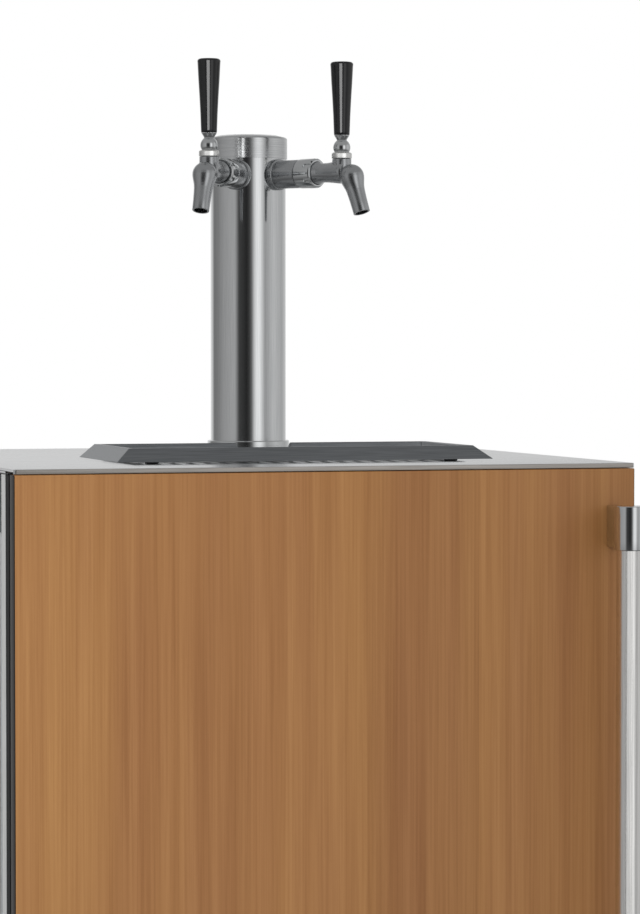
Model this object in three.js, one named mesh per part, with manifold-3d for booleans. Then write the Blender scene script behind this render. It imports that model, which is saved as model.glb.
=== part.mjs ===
// Two-tap draft beer dispenser: an under-counter refrigerated cabinet with a wood-faced door,
// a drip tray and a slim tower on its stainless top, and the gas and beer fittings inside.
// Lengths are millimetres. Seen from the front, +X is right, +Y is back and +Z is up. The origin
// is on the floor, under the middle of the whole object.
import * as THREE from 'three';
import { mergeVertices } from 'three/addons/utils/BufferGeometryUtils.js';
import Module from 'manifold-3d';

const wasm = await Module();
wasm.setup();

// Cabinet and door
const cabinetWidth = 606;
const counterHeight = 864;
const bodyDepth = 524;
const wallThickness = 45;
const steelSheet = 1.2;
const topSheet = 2.5;
const linerSheet = 1.5;
const gasketDepth = 12;
const doorDepth = 41;
const panelThickness = 19;
const handleReach = 60;
const doorBottom = 108;
const doorTopGap = 6;
const kegFloor = 150;
const machineStepHeight = 330;
const machineStepDepth = 190;
const baseHeight = 20;
const toeRecess = 50;
const backInset = 3;

// Door hinge line, from the left side and from the front face of the cabinet body
const hingeInset = 13;
const hingeStandoff = 20;

// Drip tray on the counter
const trayWidth = 376;
const trayDepth = 163;
const trayFrontSetback = 80;
const trayTop = 15.3;
const trayFootHeight = 2.5;

// Tower, with heights above the counter
const columnDiameter = 76.2;
const columnWall = 1.5;
const towerSetback = 295;
const towerHeight = 325.8;
const tapDrop = 41.3;
const tapSplayDegrees = 33.7;
const leverReach = 122.7;
const lineHoleRadius = 30;

// Hoses
const beerLineDiameter = 11;
const gasLineDiameter = 14;
const beerLineSpacing = 14;

// Gap between pieces that touch, and how far a cutting shape runs past what it cuts
const fit = 0.3;
const overrun = 1;
const mergeDistance = 0.0001;
const arcSegments = 3;

// Places worked out from the driving dimensions
const halfWidth = cabinetWidth / 2;
const wholeDepth = bodyDepth + gasketDepth + doorDepth + panelThickness + handleReach;
const backY = wholeDepth / 2;
const bodyFrontY = backY - bodyDepth;
const doorBackY = bodyFrontY - gasketDepth;
const doorFrontY = doorBackY - doorDepth;
const panelFrontY = doorFrontY - panelThickness;
const doorTop = counterHeight - doorTopGap;
const underTop = counterHeight - topSheet - fit;
const bodyBottom = kegFloor - wallThickness;
const chamberHalfWidth = halfWidth - wallThickness;
const chamberTop = counterHeight - topSheet - wallThickness;
const chamberBackY = backY - wallThickness;
const stepFrontY = chamberBackY - machineStepDepth;
const hingeX = hingeInset - halfWidth;
const hingeY = bodyFrontY - hingeStandoff;
const toeY = bodyFrontY + toeRecess;
const backPanelY = backY - backInset;
const towerY = panelFrontY + towerSetback;
const tapHeight = towerHeight - tapDrop;
const columnRadius = columnDiameter / 2;

const finishes = {
  stainless: { color: 0xbfc1c2, roughness: 0.32, metalness: 1 },
  darkStainless: { color: 0x6b6e70, roughness: 0.4, metalness: 1 },
  chrome: { color: 0xd6d8da, roughness: 0.08, metalness: 1 },
  brushedBar: { color: 0xc9cacb, roughness: 0.28, metalness: 1 },
  paintedSteel: { color: 0xc4c6c6, roughness: 0.45, metalness: 0.6 },
  galvanised: { color: 0x9fa3a5, roughness: 0.5, metalness: 1 },
  blackPlastic: { color: 0x16171a, roughness: 0.3, metalness: 0 },
  blackRubber: { color: 0x1a1a1a, roughness: 0.8, metalness: 0 },
  greyRubber: { color: 0x8d8f90, roughness: 0.75, metalness: 0 },
  whitePlastic: { color: 0xe4e5e2, roughness: 0.4, metalness: 0 },
  foam: { color: 0xd9c98f, roughness: 0.9, metalness: 0 },
  wood: { color: 0x9a7049, roughness: 0.55, metalness: 0 },
  blackPaint: { color: 0x1d1e20, roughness: 0.45, metalness: 0.3 },
  aluminium: { color: 0xb5b8ba, roughness: 0.35, metalness: 1 },
  brass: { color: 0xb08d4b, roughness: 0.3, metalness: 1 },
  beerHose: { color: 0xdcdcd2, roughness: 0.3, metalness: 0 },
  gasHose: { color: 0x9c2a22, roughness: 0.35, metalness: 0 },
};

const dispenser = new THREE.Group();

// Volume inside a closed surface, negative when its faces point inwards
function enclosedVolume(points, corners) {
  const a = new THREE.Vector3();
  const b = new THREE.Vector3();
  const c = new THREE.Vector3();
  let volume = 0;
  for (let i = 0; i < corners.length; i += 3) {
    a.fromArray(points, corners[i] * 3);
    b.fromArray(points, corners[i + 1] * 3);
    c.fromArray(points, corners[i + 2] * 3);
    volume += a.dot(b.cross(c));
  }
  return volume;
}

// A solid for joining and cutting, from a closed three.js geometry
function solidFrom(geometry) {
  geometry.deleteAttribute('normal');
  geometry.deleteAttribute('uv');
  const merged = mergeVertices(geometry, mergeDistance);
  const points = merged.attributes.position.array;
  const corners = [];
  for (let i = 0; i < merged.index.count; i += 3) {
    const [a, b, c] = merged.index.array.slice(i, i + 3);
    if (a !== b && b !== c && c !== a) corners.push(a, b, c);
  }
  if (enclosedVolume(points, corners) < 0) corners.reverse();
  const triVerts = Uint32Array.from(corners);
  return new wasm.Manifold(new wasm.Mesh({ numProp: 3, vertProperties: points, triVerts }));
}

// Puts a solid into the scene as one named piece
function addPiece(name, solid, finish, parent = dispenser) {
  const { vertProperties, triVerts } = solid.getMesh();
  const geometry = new THREE.BufferGeometry();
  geometry.setAttribute('position', new THREE.BufferAttribute(vertProperties, 3));
  geometry.setIndex(new THREE.BufferAttribute(triVerts, 1));
  geometry.computeVertexNormals();
  const mesh = new THREE.Mesh(geometry, new THREE.MeshStandardMaterial({ ...finish, flatShading: true }));
  mesh.name = name;
  parent.add(mesh);
}

function joined(...solids) {
  return solids.reduce((whole, next) => whole.add(next));
}

// A rectangular block between two values on each axis
function block([x0, x1], [y0, y1], [z0, z1]) {
  const geometry = new THREE.BoxGeometry(Math.abs(x1 - x0), Math.abs(y1 - y0), Math.abs(z1 - z0));
  geometry.translate((x0 + x1) / 2, (y0 + y1) / 2, (z0 + z1) / 2);
  return solidFrom(geometry);
}

function shapeFrom(outline) {
  if (outline instanceof THREE.Shape) return outline;
  return new THREE.Shape(outline.map((p) => new THREE.Vector2(...p)));
}

// An outline in the YZ plane, run along X
function prismAlongX(outline, [x0, x1]) {
  const settings = { depth: x1 - x0, bevelEnabled: false, curveSegments: arcSegments };
  const geometry = new THREE.ExtrudeGeometry(shapeFrom(outline), settings);
  geometry.applyMatrix4(new THREE.Matrix4().set(0, 0, 1, x0, 1, 0, 0, 0, 0, 1, 0, 0, 0, 0, 0, 1));
  return solidFrom(geometry);
}

// An outline in the XZ plane, run along Y
function prismAlongY(outline, [y0, y1]) {
  const settings = { depth: y1 - y0, bevelEnabled: false, curveSegments: arcSegments };
  const geometry = new THREE.ExtrudeGeometry(shapeFrom(outline), settings);
  geometry.applyMatrix4(new THREE.Matrix4().set(1, 0, 0, 0, 0, 0, -1, y1, 0, 1, 0, 0, 0, 0, 0, 1));
  return solidFrom(geometry);
}

function roundedOutline([x0, x1], [y0, y1], radius) {
  const shape = new THREE.Shape();
  shape.absarc(x1 - radius, y0 + radius, radius, -Math.PI / 2, 0);
  shape.absarc(x1 - radius, y1 - radius, radius, 0, Math.PI / 2);
  shape.absarc(x0 + radius, y1 - radius, radius, Math.PI / 2, Math.PI);
  shape.absarc(x0 + radius, y0 + radius, radius, Math.PI, 1.5 * Math.PI);
  return shape;
}

// A solid of revolution: the profile's [radius, height] points turned about a line that starts at
// the origin given and runs in the direction given
function turned(profile, origin, direction = [0, 0, 1], sides = 24) {
  const geometry = new THREE.LatheGeometry(profile.map((p) => new THREE.Vector2(...p)), sides);
  const up = new THREE.Vector3(0, 1, 0);
  const along = new THREE.Vector3(...direction).normalize();
  geometry.applyQuaternion(new THREE.Quaternion().setFromUnitVectors(up, along));
  geometry.translate(...origin);
  return solidFrom(geometry);
}

function rod(radius, from, to, sides = 16) {
  const start = new THREE.Vector3(...from);
  const run = new THREE.Vector3(...to).sub(start);
  const profile = [[0, 0], [radius, 0], [radius, run.length()], [0, run.length()]];
  return turned(profile, from, run.toArray(), sides);
}

function rodAlongX(radius, [from, to], y, z, sides) {
  return rod(radius, [from, y, z], [to, y, z], sides);
}

function rodAlongY(radius, x, [from, to], z, sides) {
  return rod(radius, [x, from, z], [x, to, z], sides);
}

function uprightRod(radius, x, y, [low, high], sides) {
  return rod(radius, [x, y, low], [x, y, high], sides);
}

// A ring profile for turned(), with its bore
function ringProfile(bore, radius, low, high) {
  return [[bore, low], [radius, low], [radius, high], [bore, high], [bore, low]];
}

// Points of an arc in a profile, between two angles in degrees measured from the radius direction
function arcPoints(centreRadius, centreHeight, radius, fromDegrees, toDegrees, count) {
  return Array.from({ length: count + 1 }, (_, i) => {
    const angle = THREE.MathUtils.degToRad(fromDegrees + (toDegrees - fromDegrees) * i / count);
    return [centreRadius + radius * Math.cos(angle), centreHeight + radius * Math.sin(angle)];
  });
}

// A hose or bent tube of one diameter along a smooth line through the points
function hose(points, diameter, steps, sides = 8) {
  const radius = diameter / 2;
  const circle = new THREE.Shape(Array.from({ length: sides }, (_, i) => {
    const angle = 2 * Math.PI * i / sides;
    return new THREE.Vector2(radius * Math.cos(angle), radius * Math.sin(angle));
  }));
  const line = new THREE.CatmullRomCurve3(points.map((p) => new THREE.Vector3(...p)), false, 'centripetal');
  return solidFrom(new THREE.ExtrudeGeometry(circle, { steps, extrudePath: line, bevelEnabled: false }));
}

// Cabinet

// The food-side space: keg floor, step over the machine bay, back and ceiling, grown by an offset
function chamberOutline(offset, frontY) {
  return [
    [frontY, kegFloor - offset],
    [stepFrontY + offset, kegFloor - offset],
    [stepFrontY + offset, machineStepHeight - offset],
    [chamberBackY + offset, machineStepHeight - offset],
    [chamberBackY + offset, chamberTop + offset],
    [frontY, chamberTop + offset],
  ];
}

function chamberSpace(offset, frontY) {
  const reach = chamberHalfWidth + offset;
  return prismAlongX(chamberOutline(offset, frontY), [-reach, reach]);
}

// The round way for the beer lines from the cabinet up into the tower
function lineHole(low, high) {
  return uprightRod(lineHoleRadius, 0, towerY, [low, high]);
}

function sidePanel(side) {
  const outline = [
    [bodyFrontY, bodyBottom],
    [toeY, bodyBottom],
    [toeY, baseHeight],
    [backY, baseHeight],
    [backY, underTop],
    [bodyFrontY, underTop],
  ];
  const outer = side * halfWidth;
  const inner = side * (halfWidth - steelSheet);
  return prismAlongX(outline, [Math.min(outer, inner), Math.max(outer, inner)]);
}

const insideSheets = halfWidth - steelSheet - fit;

function topPanel() {
  const upright = [counterHeight - topSheet, counterHeight];
  const sheet = block([-halfWidth, halfWidth], [panelFrontY, backY], upright);
  return sheet.subtract(lineHole(underTop, counterHeight + overrun));
}

function cabinetLiner() {
  const flangeDepth = [bodyFrontY, bodyFrontY + linerSheet];
  const flange = block([-insideSheets, insideSheets], flangeDepth, [bodyBottom, underTop]);
  const skin = joined(flange, chamberSpace(linerSheet, bodyFrontY));
  const hole = lineHole(chamberTop - overrun, underTop);
  return skin.subtract(chamberSpace(0, bodyFrontY - overrun)).subtract(hole);
}

function cabinetInsulation() {
  const frontY = bodyFrontY + linerSheet + fit;
  const rearY = backPanelY - steelSheet - fit;
  const bayFrontY = stepFrontY + wallThickness;
  const bayTop = machineStepHeight - wallThickness;
  const outline = [
    [frontY, bodyBottom],
    [bayFrontY, bodyBottom],
    [bayFrontY, bayTop],
    [rearY, bayTop],
    [rearY, underTop],
    [frontY, underTop],
  ];
  const foam = prismAlongX(outline, [-insideSheets, insideSheets]);
  const hole = lineHole(chamberTop - overrun, underTop + overrun);
  return foam.subtract(chamberSpace(linerSheet + fit, frontY - overrun)).subtract(hole);
}

function backPanel() {
  const slotHeight = 7;
  const slotPitch = 20;
  const slotRows = 8;
  const slotStart = 70;
  const slotMargin = 43;
  const firstSlot = 80;
  const glandRadius = 9;
  const glandBore = 5;
  const glandLength = 8;
  const glandInset = 53;
  const glandHeight = 62;
  const glandX = glandInset - halfWidth;
  const front = backPanelY - steelSheet;
  const through = [front - overrun, backPanelY + overrun];
  let panel = block([-insideSheets, insideSheets], [front, backPanelY], [baseHeight, underTop]);
  for (const side of [-1, 1]) {
    for (let row = 0; row < slotRows; row += 1) {
      const low = firstSlot + row * slotPitch;
      const across = [side * slotStart, side * (halfWidth - slotMargin)];
      panel = panel.subtract(block(across, through, [low, low + slotHeight]));
    }
  }
  const glandEnd = backPanelY + backInset - fit;
  const gland = rodAlongY(glandRadius, glandX, [glandEnd - glandLength, glandEnd], glandHeight);
  const bore = rodAlongY(glandBore, glandX, [front - glandLength, backY + overrun], glandHeight, 10);
  return joined(panel, gland).subtract(bore);
}

// Base with the leveling legs

const legInsetSide = 41;
const legInsetFront = 36;
const legInsetBack = 36;
const legStemRadius = 5;
const legPlaces = {
  front_left: [legInsetSide - halfWidth, toeY + legInsetFront],
  front_right: [halfWidth - legInsetSide, toeY + legInsetFront],
  rear_left: [legInsetSide - halfWidth, backY - legInsetBack],
  rear_right: [halfWidth - legInsetSide, backY - legInsetBack],
};

const baseSheet = 2;
const baseFrontY = toeY + steelSheet + fit;

function basePan() {
  const rearLip = 25;
  const rear = backPanelY - steelSheet - fit;
  const across = [-insideSheets, insideSheets];
  const floor = block(across, [baseFrontY, rear], [baseHeight, baseHeight + baseSheet]);
  const walls = [-1, 1].map((side) => {
    const sheet = [side * insideSheets, side * (insideSheets - baseSheet)];
    return block(sheet, [baseFrontY, stepFrontY + wallThickness - fit], [baseHeight, bodyBottom - fit]);
  });
  const lip = block(across, [rear - baseSheet, rear], [baseHeight, baseHeight + rearLip]);
  const holes = Object.values(legPlaces).map(([x, y]) => {
    return uprightRod(legStemRadius + fit, x, y, [0, baseHeight + baseSheet + overrun]);
  });
  return holes.reduce((pan, hole) => pan.subtract(hole), joined(floor, ...walls, lip));
}

function toeGrille() {
  const slotWidth = 46;
  const slotHeight = 6;
  const columnPitch = 60;
  const rowPitch = 18;
  const columns = 9;
  const rows = 3;
  const height = bodyBottom - fit - baseHeight;
  const sheet = [toeY, toeY + steelSheet];
  let grille = block([-insideSheets, insideSheets], sheet, [baseHeight, bodyBottom - fit]);
  for (let column = 0; column < columns; column += 1) {
    for (let row = 0; row < rows; row += 1) {
      const x = (column - (columns - 1) / 2) * columnPitch;
      const z = baseHeight + height / 2 + (row - (rows - 1) / 2) * rowPitch;
      const across = [x - slotWidth / 2, x + slotWidth / 2];
      const upright = [z - slotHeight / 2, z + slotHeight / 2];
      grille = grille.subtract(block(across, [toeY - overrun, toeY + steelSheet + overrun], upright));
    }
  }
  return grille;
}

function levelingLeg([x, y]) {
  const footRadius = 20;
  const footThickness = 7;
  const nutRadius = 11;
  const nutLow = 12;
  const stemTop = 75;
  return turned([
    [0, 0],
    [footRadius, 0],
    [footRadius, footThickness],
    [nutRadius, nutLow],
    [nutRadius, baseHeight - fit],
    [legStemRadius, baseHeight - fit],
    [legStemRadius, stemTop],
    [0, stemTop],
  ], [x, y, 0], [0, 0, 1], 16);
}

// Cooling machine in the bay behind the step

const bayFloor = baseHeight + baseSheet + fit;

function compressor() {
  const sideShare = 0.5;
  const backDistance = 98;
  const shellRadius = 72;
  const shellClearance = 16;
  const shellHeight = 165;
  const domeHeight = 38;
  const footWidth = 190;
  const footDepth = 120;
  const footThickness = 4;
  const grommetRadius = 12;
  const footInset = 18;
  const grommetHeight = 12;
  const boxSize = 42;
  const stubRadius = 5;
  const stubLength = 22;
  const centreX = -halfWidth * sideShare;
  const centreY = backY - backDistance;
  const footLow = bayFloor + grommetHeight;
  const shellLow = bayFloor + shellClearance;
  const shellTop = shellLow + shellHeight;
  const shell = turned([
    [0, shellLow],
    [shellRadius - domeHeight, shellLow],
    ...arcPoints(shellRadius - domeHeight, shellLow + domeHeight, domeHeight, -90, 0, 3),
    ...arcPoints(shellRadius - domeHeight, shellTop - domeHeight, domeHeight, 0, 90, 3),
    [0, shellTop],
  ], [centreX, centreY, 0], [0, 0, 1], 20);
  const foot = block(
    [centreX - footWidth / 2, centreX + footWidth / 2],
    [centreY - footDepth / 2, centreY + footDepth / 2],
    [footLow, shellLow + footThickness],
  );
  const grommets = [-1, 1].flatMap((i) => [-1, 1].map((j) => {
    const x = centreX + i * (footWidth / 2 - footInset);
    const y = centreY + j * (footDepth / 2 - footInset);
    return uprightRod(grommetRadius, x, y, [bayFloor, footLow + footThickness], 8);
  }));
  const middle = shellLow + shellHeight / 2;
  const box = block(
    [centreX + shellRadius - boxSize / 2, centreX + shellRadius + boxSize / 2],
    [centreY - boxSize / 2, centreY + boxSize / 2],
    [middle - boxSize / 2, middle + boxSize / 2],
  );
  const stub = uprightRod(stubRadius, centreX, centreY, [shellTop - stubLength, shellTop + stubLength], 10);
  return joined(shell, foot, ...grommets, box, stub);
}

const fanSideShare = 0.46;
const fanHeight = 148;
const fanRadius = 78;
const fanShaftRadius = 4;
const fanLength = 24;
const fanTipGap = 6;
const coilDepth = 42;
const coilClearance = 14;
const fanClearance = 14;
const motorClearance = 8;
const fanX = halfWidth * fanSideShare;
const coilFrontY = stepFrontY + wallThickness + coilClearance;
const coilBackY = coilFrontY + coilDepth;
const fanFrontY = coilBackY + fanClearance;
const motorFrontY = fanFrontY + fanLength + motorClearance;

function condenser() {
  const coilWidth = 210;
  const coilHeight = 200;
  const plateThickness = 2;
  const finThickness = 1;
  const finCount = 12;
  const tubeRadius = 5;
  const tubeCount = 2;
  const openingRadius = fanRadius + fanTipGap;
  const motorRadius = 30;
  const motorLength = 34;
  const armHeight = 14;
  const armThickness = 3;
  const low = bayFloor;
  const high = low + coilHeight;
  const left = fanX - coilWidth / 2;
  const right = fanX + coilWidth / 2;
  const depth = [coilFrontY, coilBackY];
  const pieces = [-1, 1].map((side) => {
    const outer = fanX + side * coilWidth / 2;
    return block([outer, outer - side * plateThickness], depth, [low, high]);
  });
  for (let fin = 1; fin <= finCount; fin += 1) {
    const x = left + coilWidth * fin / (finCount + 1);
    pieces.push(block([x, x + finThickness], depth, [low + tubeRadius, high - tubeRadius]));
  }
  for (let tube = 1; tube <= tubeCount; tube += 1) {
    const z = low + coilHeight * tube / (tubeCount + 1);
    const y = (coilFrontY + coilBackY) / 2;
    pieces.push(rodAlongX(tubeRadius, [left - tubeRadius, right + tubeRadius], y, z, 6));
  }
  const shroudEnd = coilBackY + plateThickness;
  const shroud = block([left, right], [coilBackY, shroudEnd], [low, high]);
  const opening = rodAlongY(openingRadius, fanX, [coilBackY - overrun, shroudEnd + overrun], fanHeight, 28);
  pieces.push(shroud.subtract(opening));
  const armReach = openingRadius + armThickness;
  const armEnd = motorFrontY + armThickness;
  for (const side of [-1, 1]) {
    const outer = fanX + side * (armReach + armThickness);
    const upright = [fanHeight - armHeight / 2, fanHeight + armHeight / 2];
    pieces.push(block([outer, fanX + side * armReach], [coilBackY, armEnd], upright));
    pieces.push(block([outer, fanX], [motorFrontY, armEnd], upright));
  }
  pieces.push(rodAlongY(motorRadius, fanX, [motorFrontY, motorFrontY + motorLength], fanHeight));
  pieces.push(rodAlongY(fanShaftRadius, fanX, [fanFrontY, motorFrontY + overrun], fanHeight, 12));
  return joined(...pieces);
}

// A fan wheel with pitched blades, its axis along Y
function fanWheel(centreX, centreZ, frontY, length, radius, shaftRadius) {
  const bladeCount = 5;
  const bladePitchDegrees = 32;
  const hubShare = 0.26;
  const chordShare = 1.5;
  const bladeThickness = 2;
  const hubRadius = radius * hubShare;
  const middleY = frontY + length / 2;
  const chord = length * chordShare;
  let wheel = rodAlongY(hubRadius, centreX, [frontY, frontY + length], centreZ, 20);
  for (let i = 0; i < bladeCount; i += 1) {
    const geometry = new THREE.BoxGeometry(radius - hubRadius / 2, bladeThickness, chord);
    geometry.rotateX(THREE.MathUtils.degToRad(bladePitchDegrees));
    geometry.translate((radius + hubRadius / 2) / 2, 0, 0);
    geometry.rotateY(2 * Math.PI * i / bladeCount);
    geometry.translate(centreX, middleY, centreZ);
    wheel = wheel.add(solidFrom(geometry));
  }
  const bore = shaftRadius + fit;
  return wheel.subtract(rodAlongY(bore, centreX, [frontY - overrun, frontY + length + overrun], centreZ, 12));
}

const evaporatorTopGap = 18.5;
const evaporatorHeight = 186;
const evaporatorFanRadius = 52;
const evaporatorDepth = 44;
const evaporatorFanInset = 6;
const evaporatorFanLength = 16;
const evaporatorMotorGap = 4;
const evaporatorTop = chamberTop - evaporatorTopGap;
const evaporatorFanHeight = evaporatorTop - evaporatorHeight / 2;
const evaporatorFrontY = chamberBackY - fit - evaporatorDepth;
const evaporatorFanY = evaporatorFrontY + evaporatorFanInset;

function evaporatorHousing() {
  const halfLength = 170;
  const cornerRadius = 14;
  const openingRadius = evaporatorFanRadius + fanTipGap;
  const openingDepth = 34;
  const motorRadius = 18;
  const slotHeight = 6;
  const slotWidth = 64;
  const slotPitch = 14;
  const slotDepth = 10;
  const slotRows = 7;
  const slotX = 118;
  const rearY = chamberBackY - fit;
  const upright = [evaporatorTop - evaporatorHeight, evaporatorTop];
  const outline = roundedOutline([-halfLength, halfLength], upright, cornerRadius);
  let housing = prismAlongY(outline, [evaporatorFrontY, rearY]);
  const openingEnd = evaporatorFrontY + openingDepth;
  const onFanAxis = (radius, from, to, sides) => rodAlongY(radius, 0, [from, to], evaporatorFanHeight, sides);
  housing = housing.subtract(onFanAxis(openingRadius, evaporatorFrontY - overrun, openingEnd, 28));
  for (const side of [-1, 1]) {
    for (let row = 0; row < slotRows; row += 1) {
      const z = evaporatorFanHeight + (row - (slotRows - 1) / 2) * slotPitch;
      const across = [side * slotX - slotWidth / 2, side * slotX + slotWidth / 2];
      const inward = [evaporatorFrontY - overrun, evaporatorFrontY + slotDepth];
      housing = housing.subtract(block(across, inward, [z - slotHeight / 2, z + slotHeight / 2]));
    }
  }
  const motorY = evaporatorFanY + evaporatorFanLength + evaporatorMotorGap;
  const motor = onFanAxis(motorRadius, motorY, openingEnd + overrun);
  const shaft = onFanAxis(fanShaftRadius, evaporatorFanY, motorY + overrun, 12);
  return joined(housing, motor, shaft);
}

// Door, hinged at the left

const doorSideStep = 5;
const hingePinRadius = 4;
const hingePinReach = 20;
const linerPlateY = doorBackY - linerSheet;

// The steel pan's outer form grown inwards by an inset: a wide box with a narrower front
function doorForm(inset, rearY) {
  const wide = halfWidth - inset;
  const narrow = wide - doorSideStep;
  const stepY = doorFrontY + doorSideStep + inset;
  const frontY = doorFrontY + inset;
  const low = doorBottom + inset;
  const high = doorTop - inset;
  const body = block([-wide, wide], [stepY, rearY], [low, high]);
  return joined(body, block([-narrow, narrow], [frontY, rearY], [low + doorSideStep, high - doorSideStep]));
}

function hingePinHole(low, high) {
  return uprightRod(hingePinRadius + fit, hingeX, hingeY, [low, high], 12);
}

const pinHoleLow = doorBottom + hingePinReach + fit;
const pinHoleHigh = doorTop - hingePinReach - fit;

function doorShell() {
  const rearY = linerPlateY - fit;
  const pan = doorForm(0, rearY).subtract(doorForm(steelSheet, rearY + overrun));
  const lowHole = hingePinHole(doorBottom - overrun, pinHoleLow);
  return pan.subtract(lowHole).subtract(hingePinHole(pinHoleHigh, doorTop + overrun));
}

function doorInsulation() {
  const core = doorForm(steelSheet + fit, linerPlateY - fit);
  return core.subtract(hingePinHole(doorBottom, pinHoleLow)).subtract(hingePinHole(pinHoleHigh, doorTop));
}

const gasketOverlap = 10;
const gasketWidth = 20;

// A rectangular frame around the chamber mouth, between two distances outside it
function mouthFrame(inner, outer, depth, radius) {
  const ring = (grow) => roundedOutline(
    [-(chamberHalfWidth + grow), chamberHalfWidth + grow],
    [kegFloor - grow, chamberTop + grow],
    radius + Math.max(grow, 0),
  );
  const through = [depth[0] - overrun, depth[1] + overrun];
  return prismAlongY(ring(outer), depth).subtract(prismAlongY(ring(inner), through));
}

function doorLiner() {
  const dykeInset = 12;
  const dykeWidth = 9;
  const dykeHeight = 9;
  const cornerRadius = 12;
  const wide = halfWidth - steelSheet;
  const upright = [doorBottom + steelSheet, doorTop - steelSheet];
  const plate = block([-wide, wide], [linerPlateY, doorBackY], upright);
  const inner = -(dykeInset + dykeWidth);
  return joined(plate, mouthFrame(inner, -dykeInset, [linerPlateY, doorBackY + dykeHeight], cornerRadius));
}

function doorGasket() {
  const cornerRadius = 4;
  const grooveWidth = 6;
  const grooveDepth = 3;
  const outer = gasketOverlap + gasketWidth;
  const depth = [doorBackY + fit, bodyFrontY - fit];
  const frame = mouthFrame(gasketOverlap, outer, depth, cornerRadius);
  const grooveInner = gasketOverlap + (gasketWidth - grooveWidth) / 2;
  const groove = [depth[0] - overrun, depth[0] + grooveDepth];
  return frame.subtract(mouthFrame(grooveInner, grooveInner + grooveWidth, groove, cornerRadius));
}

function woodPanel() {
  return block([-halfWidth, halfWidth], [panelFrontY, doorFrontY - fit], [doorBottom, doorTop]);
}

const hingePlateThickness = 2.5;

// An angle plate on the cabinet's front face, with the pin that the door turns on.
// The sign is +1 for the upper hinge, whose leg and pin point down, and -1 for the lower one
function hinge(sign) {
  const legWidth = 13;
  const legLength = 58;
  const edgeGap = 0.5;
  const plateReach = 10;
  const plateWidth = 28;
  const doorEdge = sign > 0 ? doorTop : doorBottom;
  const plateInner = sign > 0 ? underTop - hingePlateThickness : doorEdge - fit;
  const plateOuter = plateInner + sign * hingePlateThickness;
  const left = edgeGap - halfWidth;
  const faceY = bodyFrontY - fit;
  const plate = block([left, left + plateWidth], [hingeY - plateReach, faceY], [plateInner, plateOuter]);
  const legDepth = [faceY - hingePlateThickness, faceY];
  const leg = block([left, left + legWidth], legDepth, [plateOuter, plateOuter - sign * legLength]);
  const pinEnds = [plateOuter - sign * fit, doorEdge - sign * hingePinReach];
  return joined(plate, leg, uprightRod(hingePinRadius, hingeX, hingeY, pinEnds, 12));
}

// Pull handle

const handleEndInset = 32;
const handleSideInset = 23;
const bracketHeight = 42;
const collarRadius = 15;
const barRadius = 12.7;
const barInsert = 12;
const handleTop = doorTop - handleEndInset;
const handleBottom = doorBottom + handleEndInset;
const handleX = halfWidth - handleSideInset;
const handleY = panelFrontY - handleReach + collarRadius;

function handleBar() {
  const low = handleBottom + bracketHeight - barInsert;
  const high = handleTop - bracketHeight + barInsert;
  return uprightRod(barRadius, handleX, handleY, [low, high], 28);
}

// The polished end of the handle: a collar round the bar and a flat stem back to the wood
function handleBracket(sign) {
  const stemWidth = 12;
  const outer = sign > 0 ? handleTop : handleBottom;
  const inner = outer - sign * bracketHeight;
  const collar = uprightRod(collarRadius, handleX, handleY, [inner, outer], 28);
  const across = [handleX - stemWidth / 2, handleX + stemWidth / 2];
  const stem = block(across, [handleY, panelFrontY - fit], [inner, outer]);
  const boreEnds = [inner - sign * overrun, inner + sign * (barInsert + fit)];
  return joined(collar, stem).subtract(uprightRod(barRadius + fit, handleX, handleY, boreEnds, 28));
}

// Drip tray

const trayFrontY = panelFrontY + trayFrontSetback;
const trayBackY = trayFrontY + trayDepth;
const traySlope = 15.5;
const trayRim = 6;
const trayFloor = 1.5;
const grateDrop = 6.2;
const panHalfWidth = trayWidth / 2 - traySlope - trayRim;
const panFrontY = trayFrontY + traySlope + trayRim;
const panBackY = trayBackY - trayRim;
const panFloorZ = counterHeight + trayFootHeight + trayFloor;
const grateTop = counterHeight + trayTop - grateDrop;

// The pan leans in at the front and the sides, and its back wall dips in front of the tower
function trayPan() {
  const dipHalfWidth = 26;
  const dipSlope = 3;
  const low = counterHeight + trayFootHeight;
  const high = counterHeight + trayTop;
  const halfTray = trayWidth / 2;
  const acrossForm = prismAlongY([
    [-halfTray, low],
    [halfTray, low],
    [halfTray - traySlope, high],
    [traySlope - halfTray, high],
  ], [trayFrontY, trayBackY]);
  const alongForm = prismAlongX([
    [trayFrontY, low],
    [trayBackY, low],
    [trayBackY, high],
    [trayFrontY + traySlope, high],
  ], [-halfTray, halfTray]);
  const hollow = block([-panHalfWidth, panHalfWidth], [panFrontY, panBackY], [panFloorZ, high + overrun]);
  const dip = prismAlongY([
    [-dipHalfWidth, grateTop],
    [dipHalfWidth, grateTop],
    [dipHalfWidth + dipSlope, high + overrun],
    [-dipHalfWidth - dipSlope, high + overrun],
  ], [panBackY - overrun, trayBackY + overrun]);
  return acrossForm.intersect(alongForm).subtract(hollow).subtract(dip);
}

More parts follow.
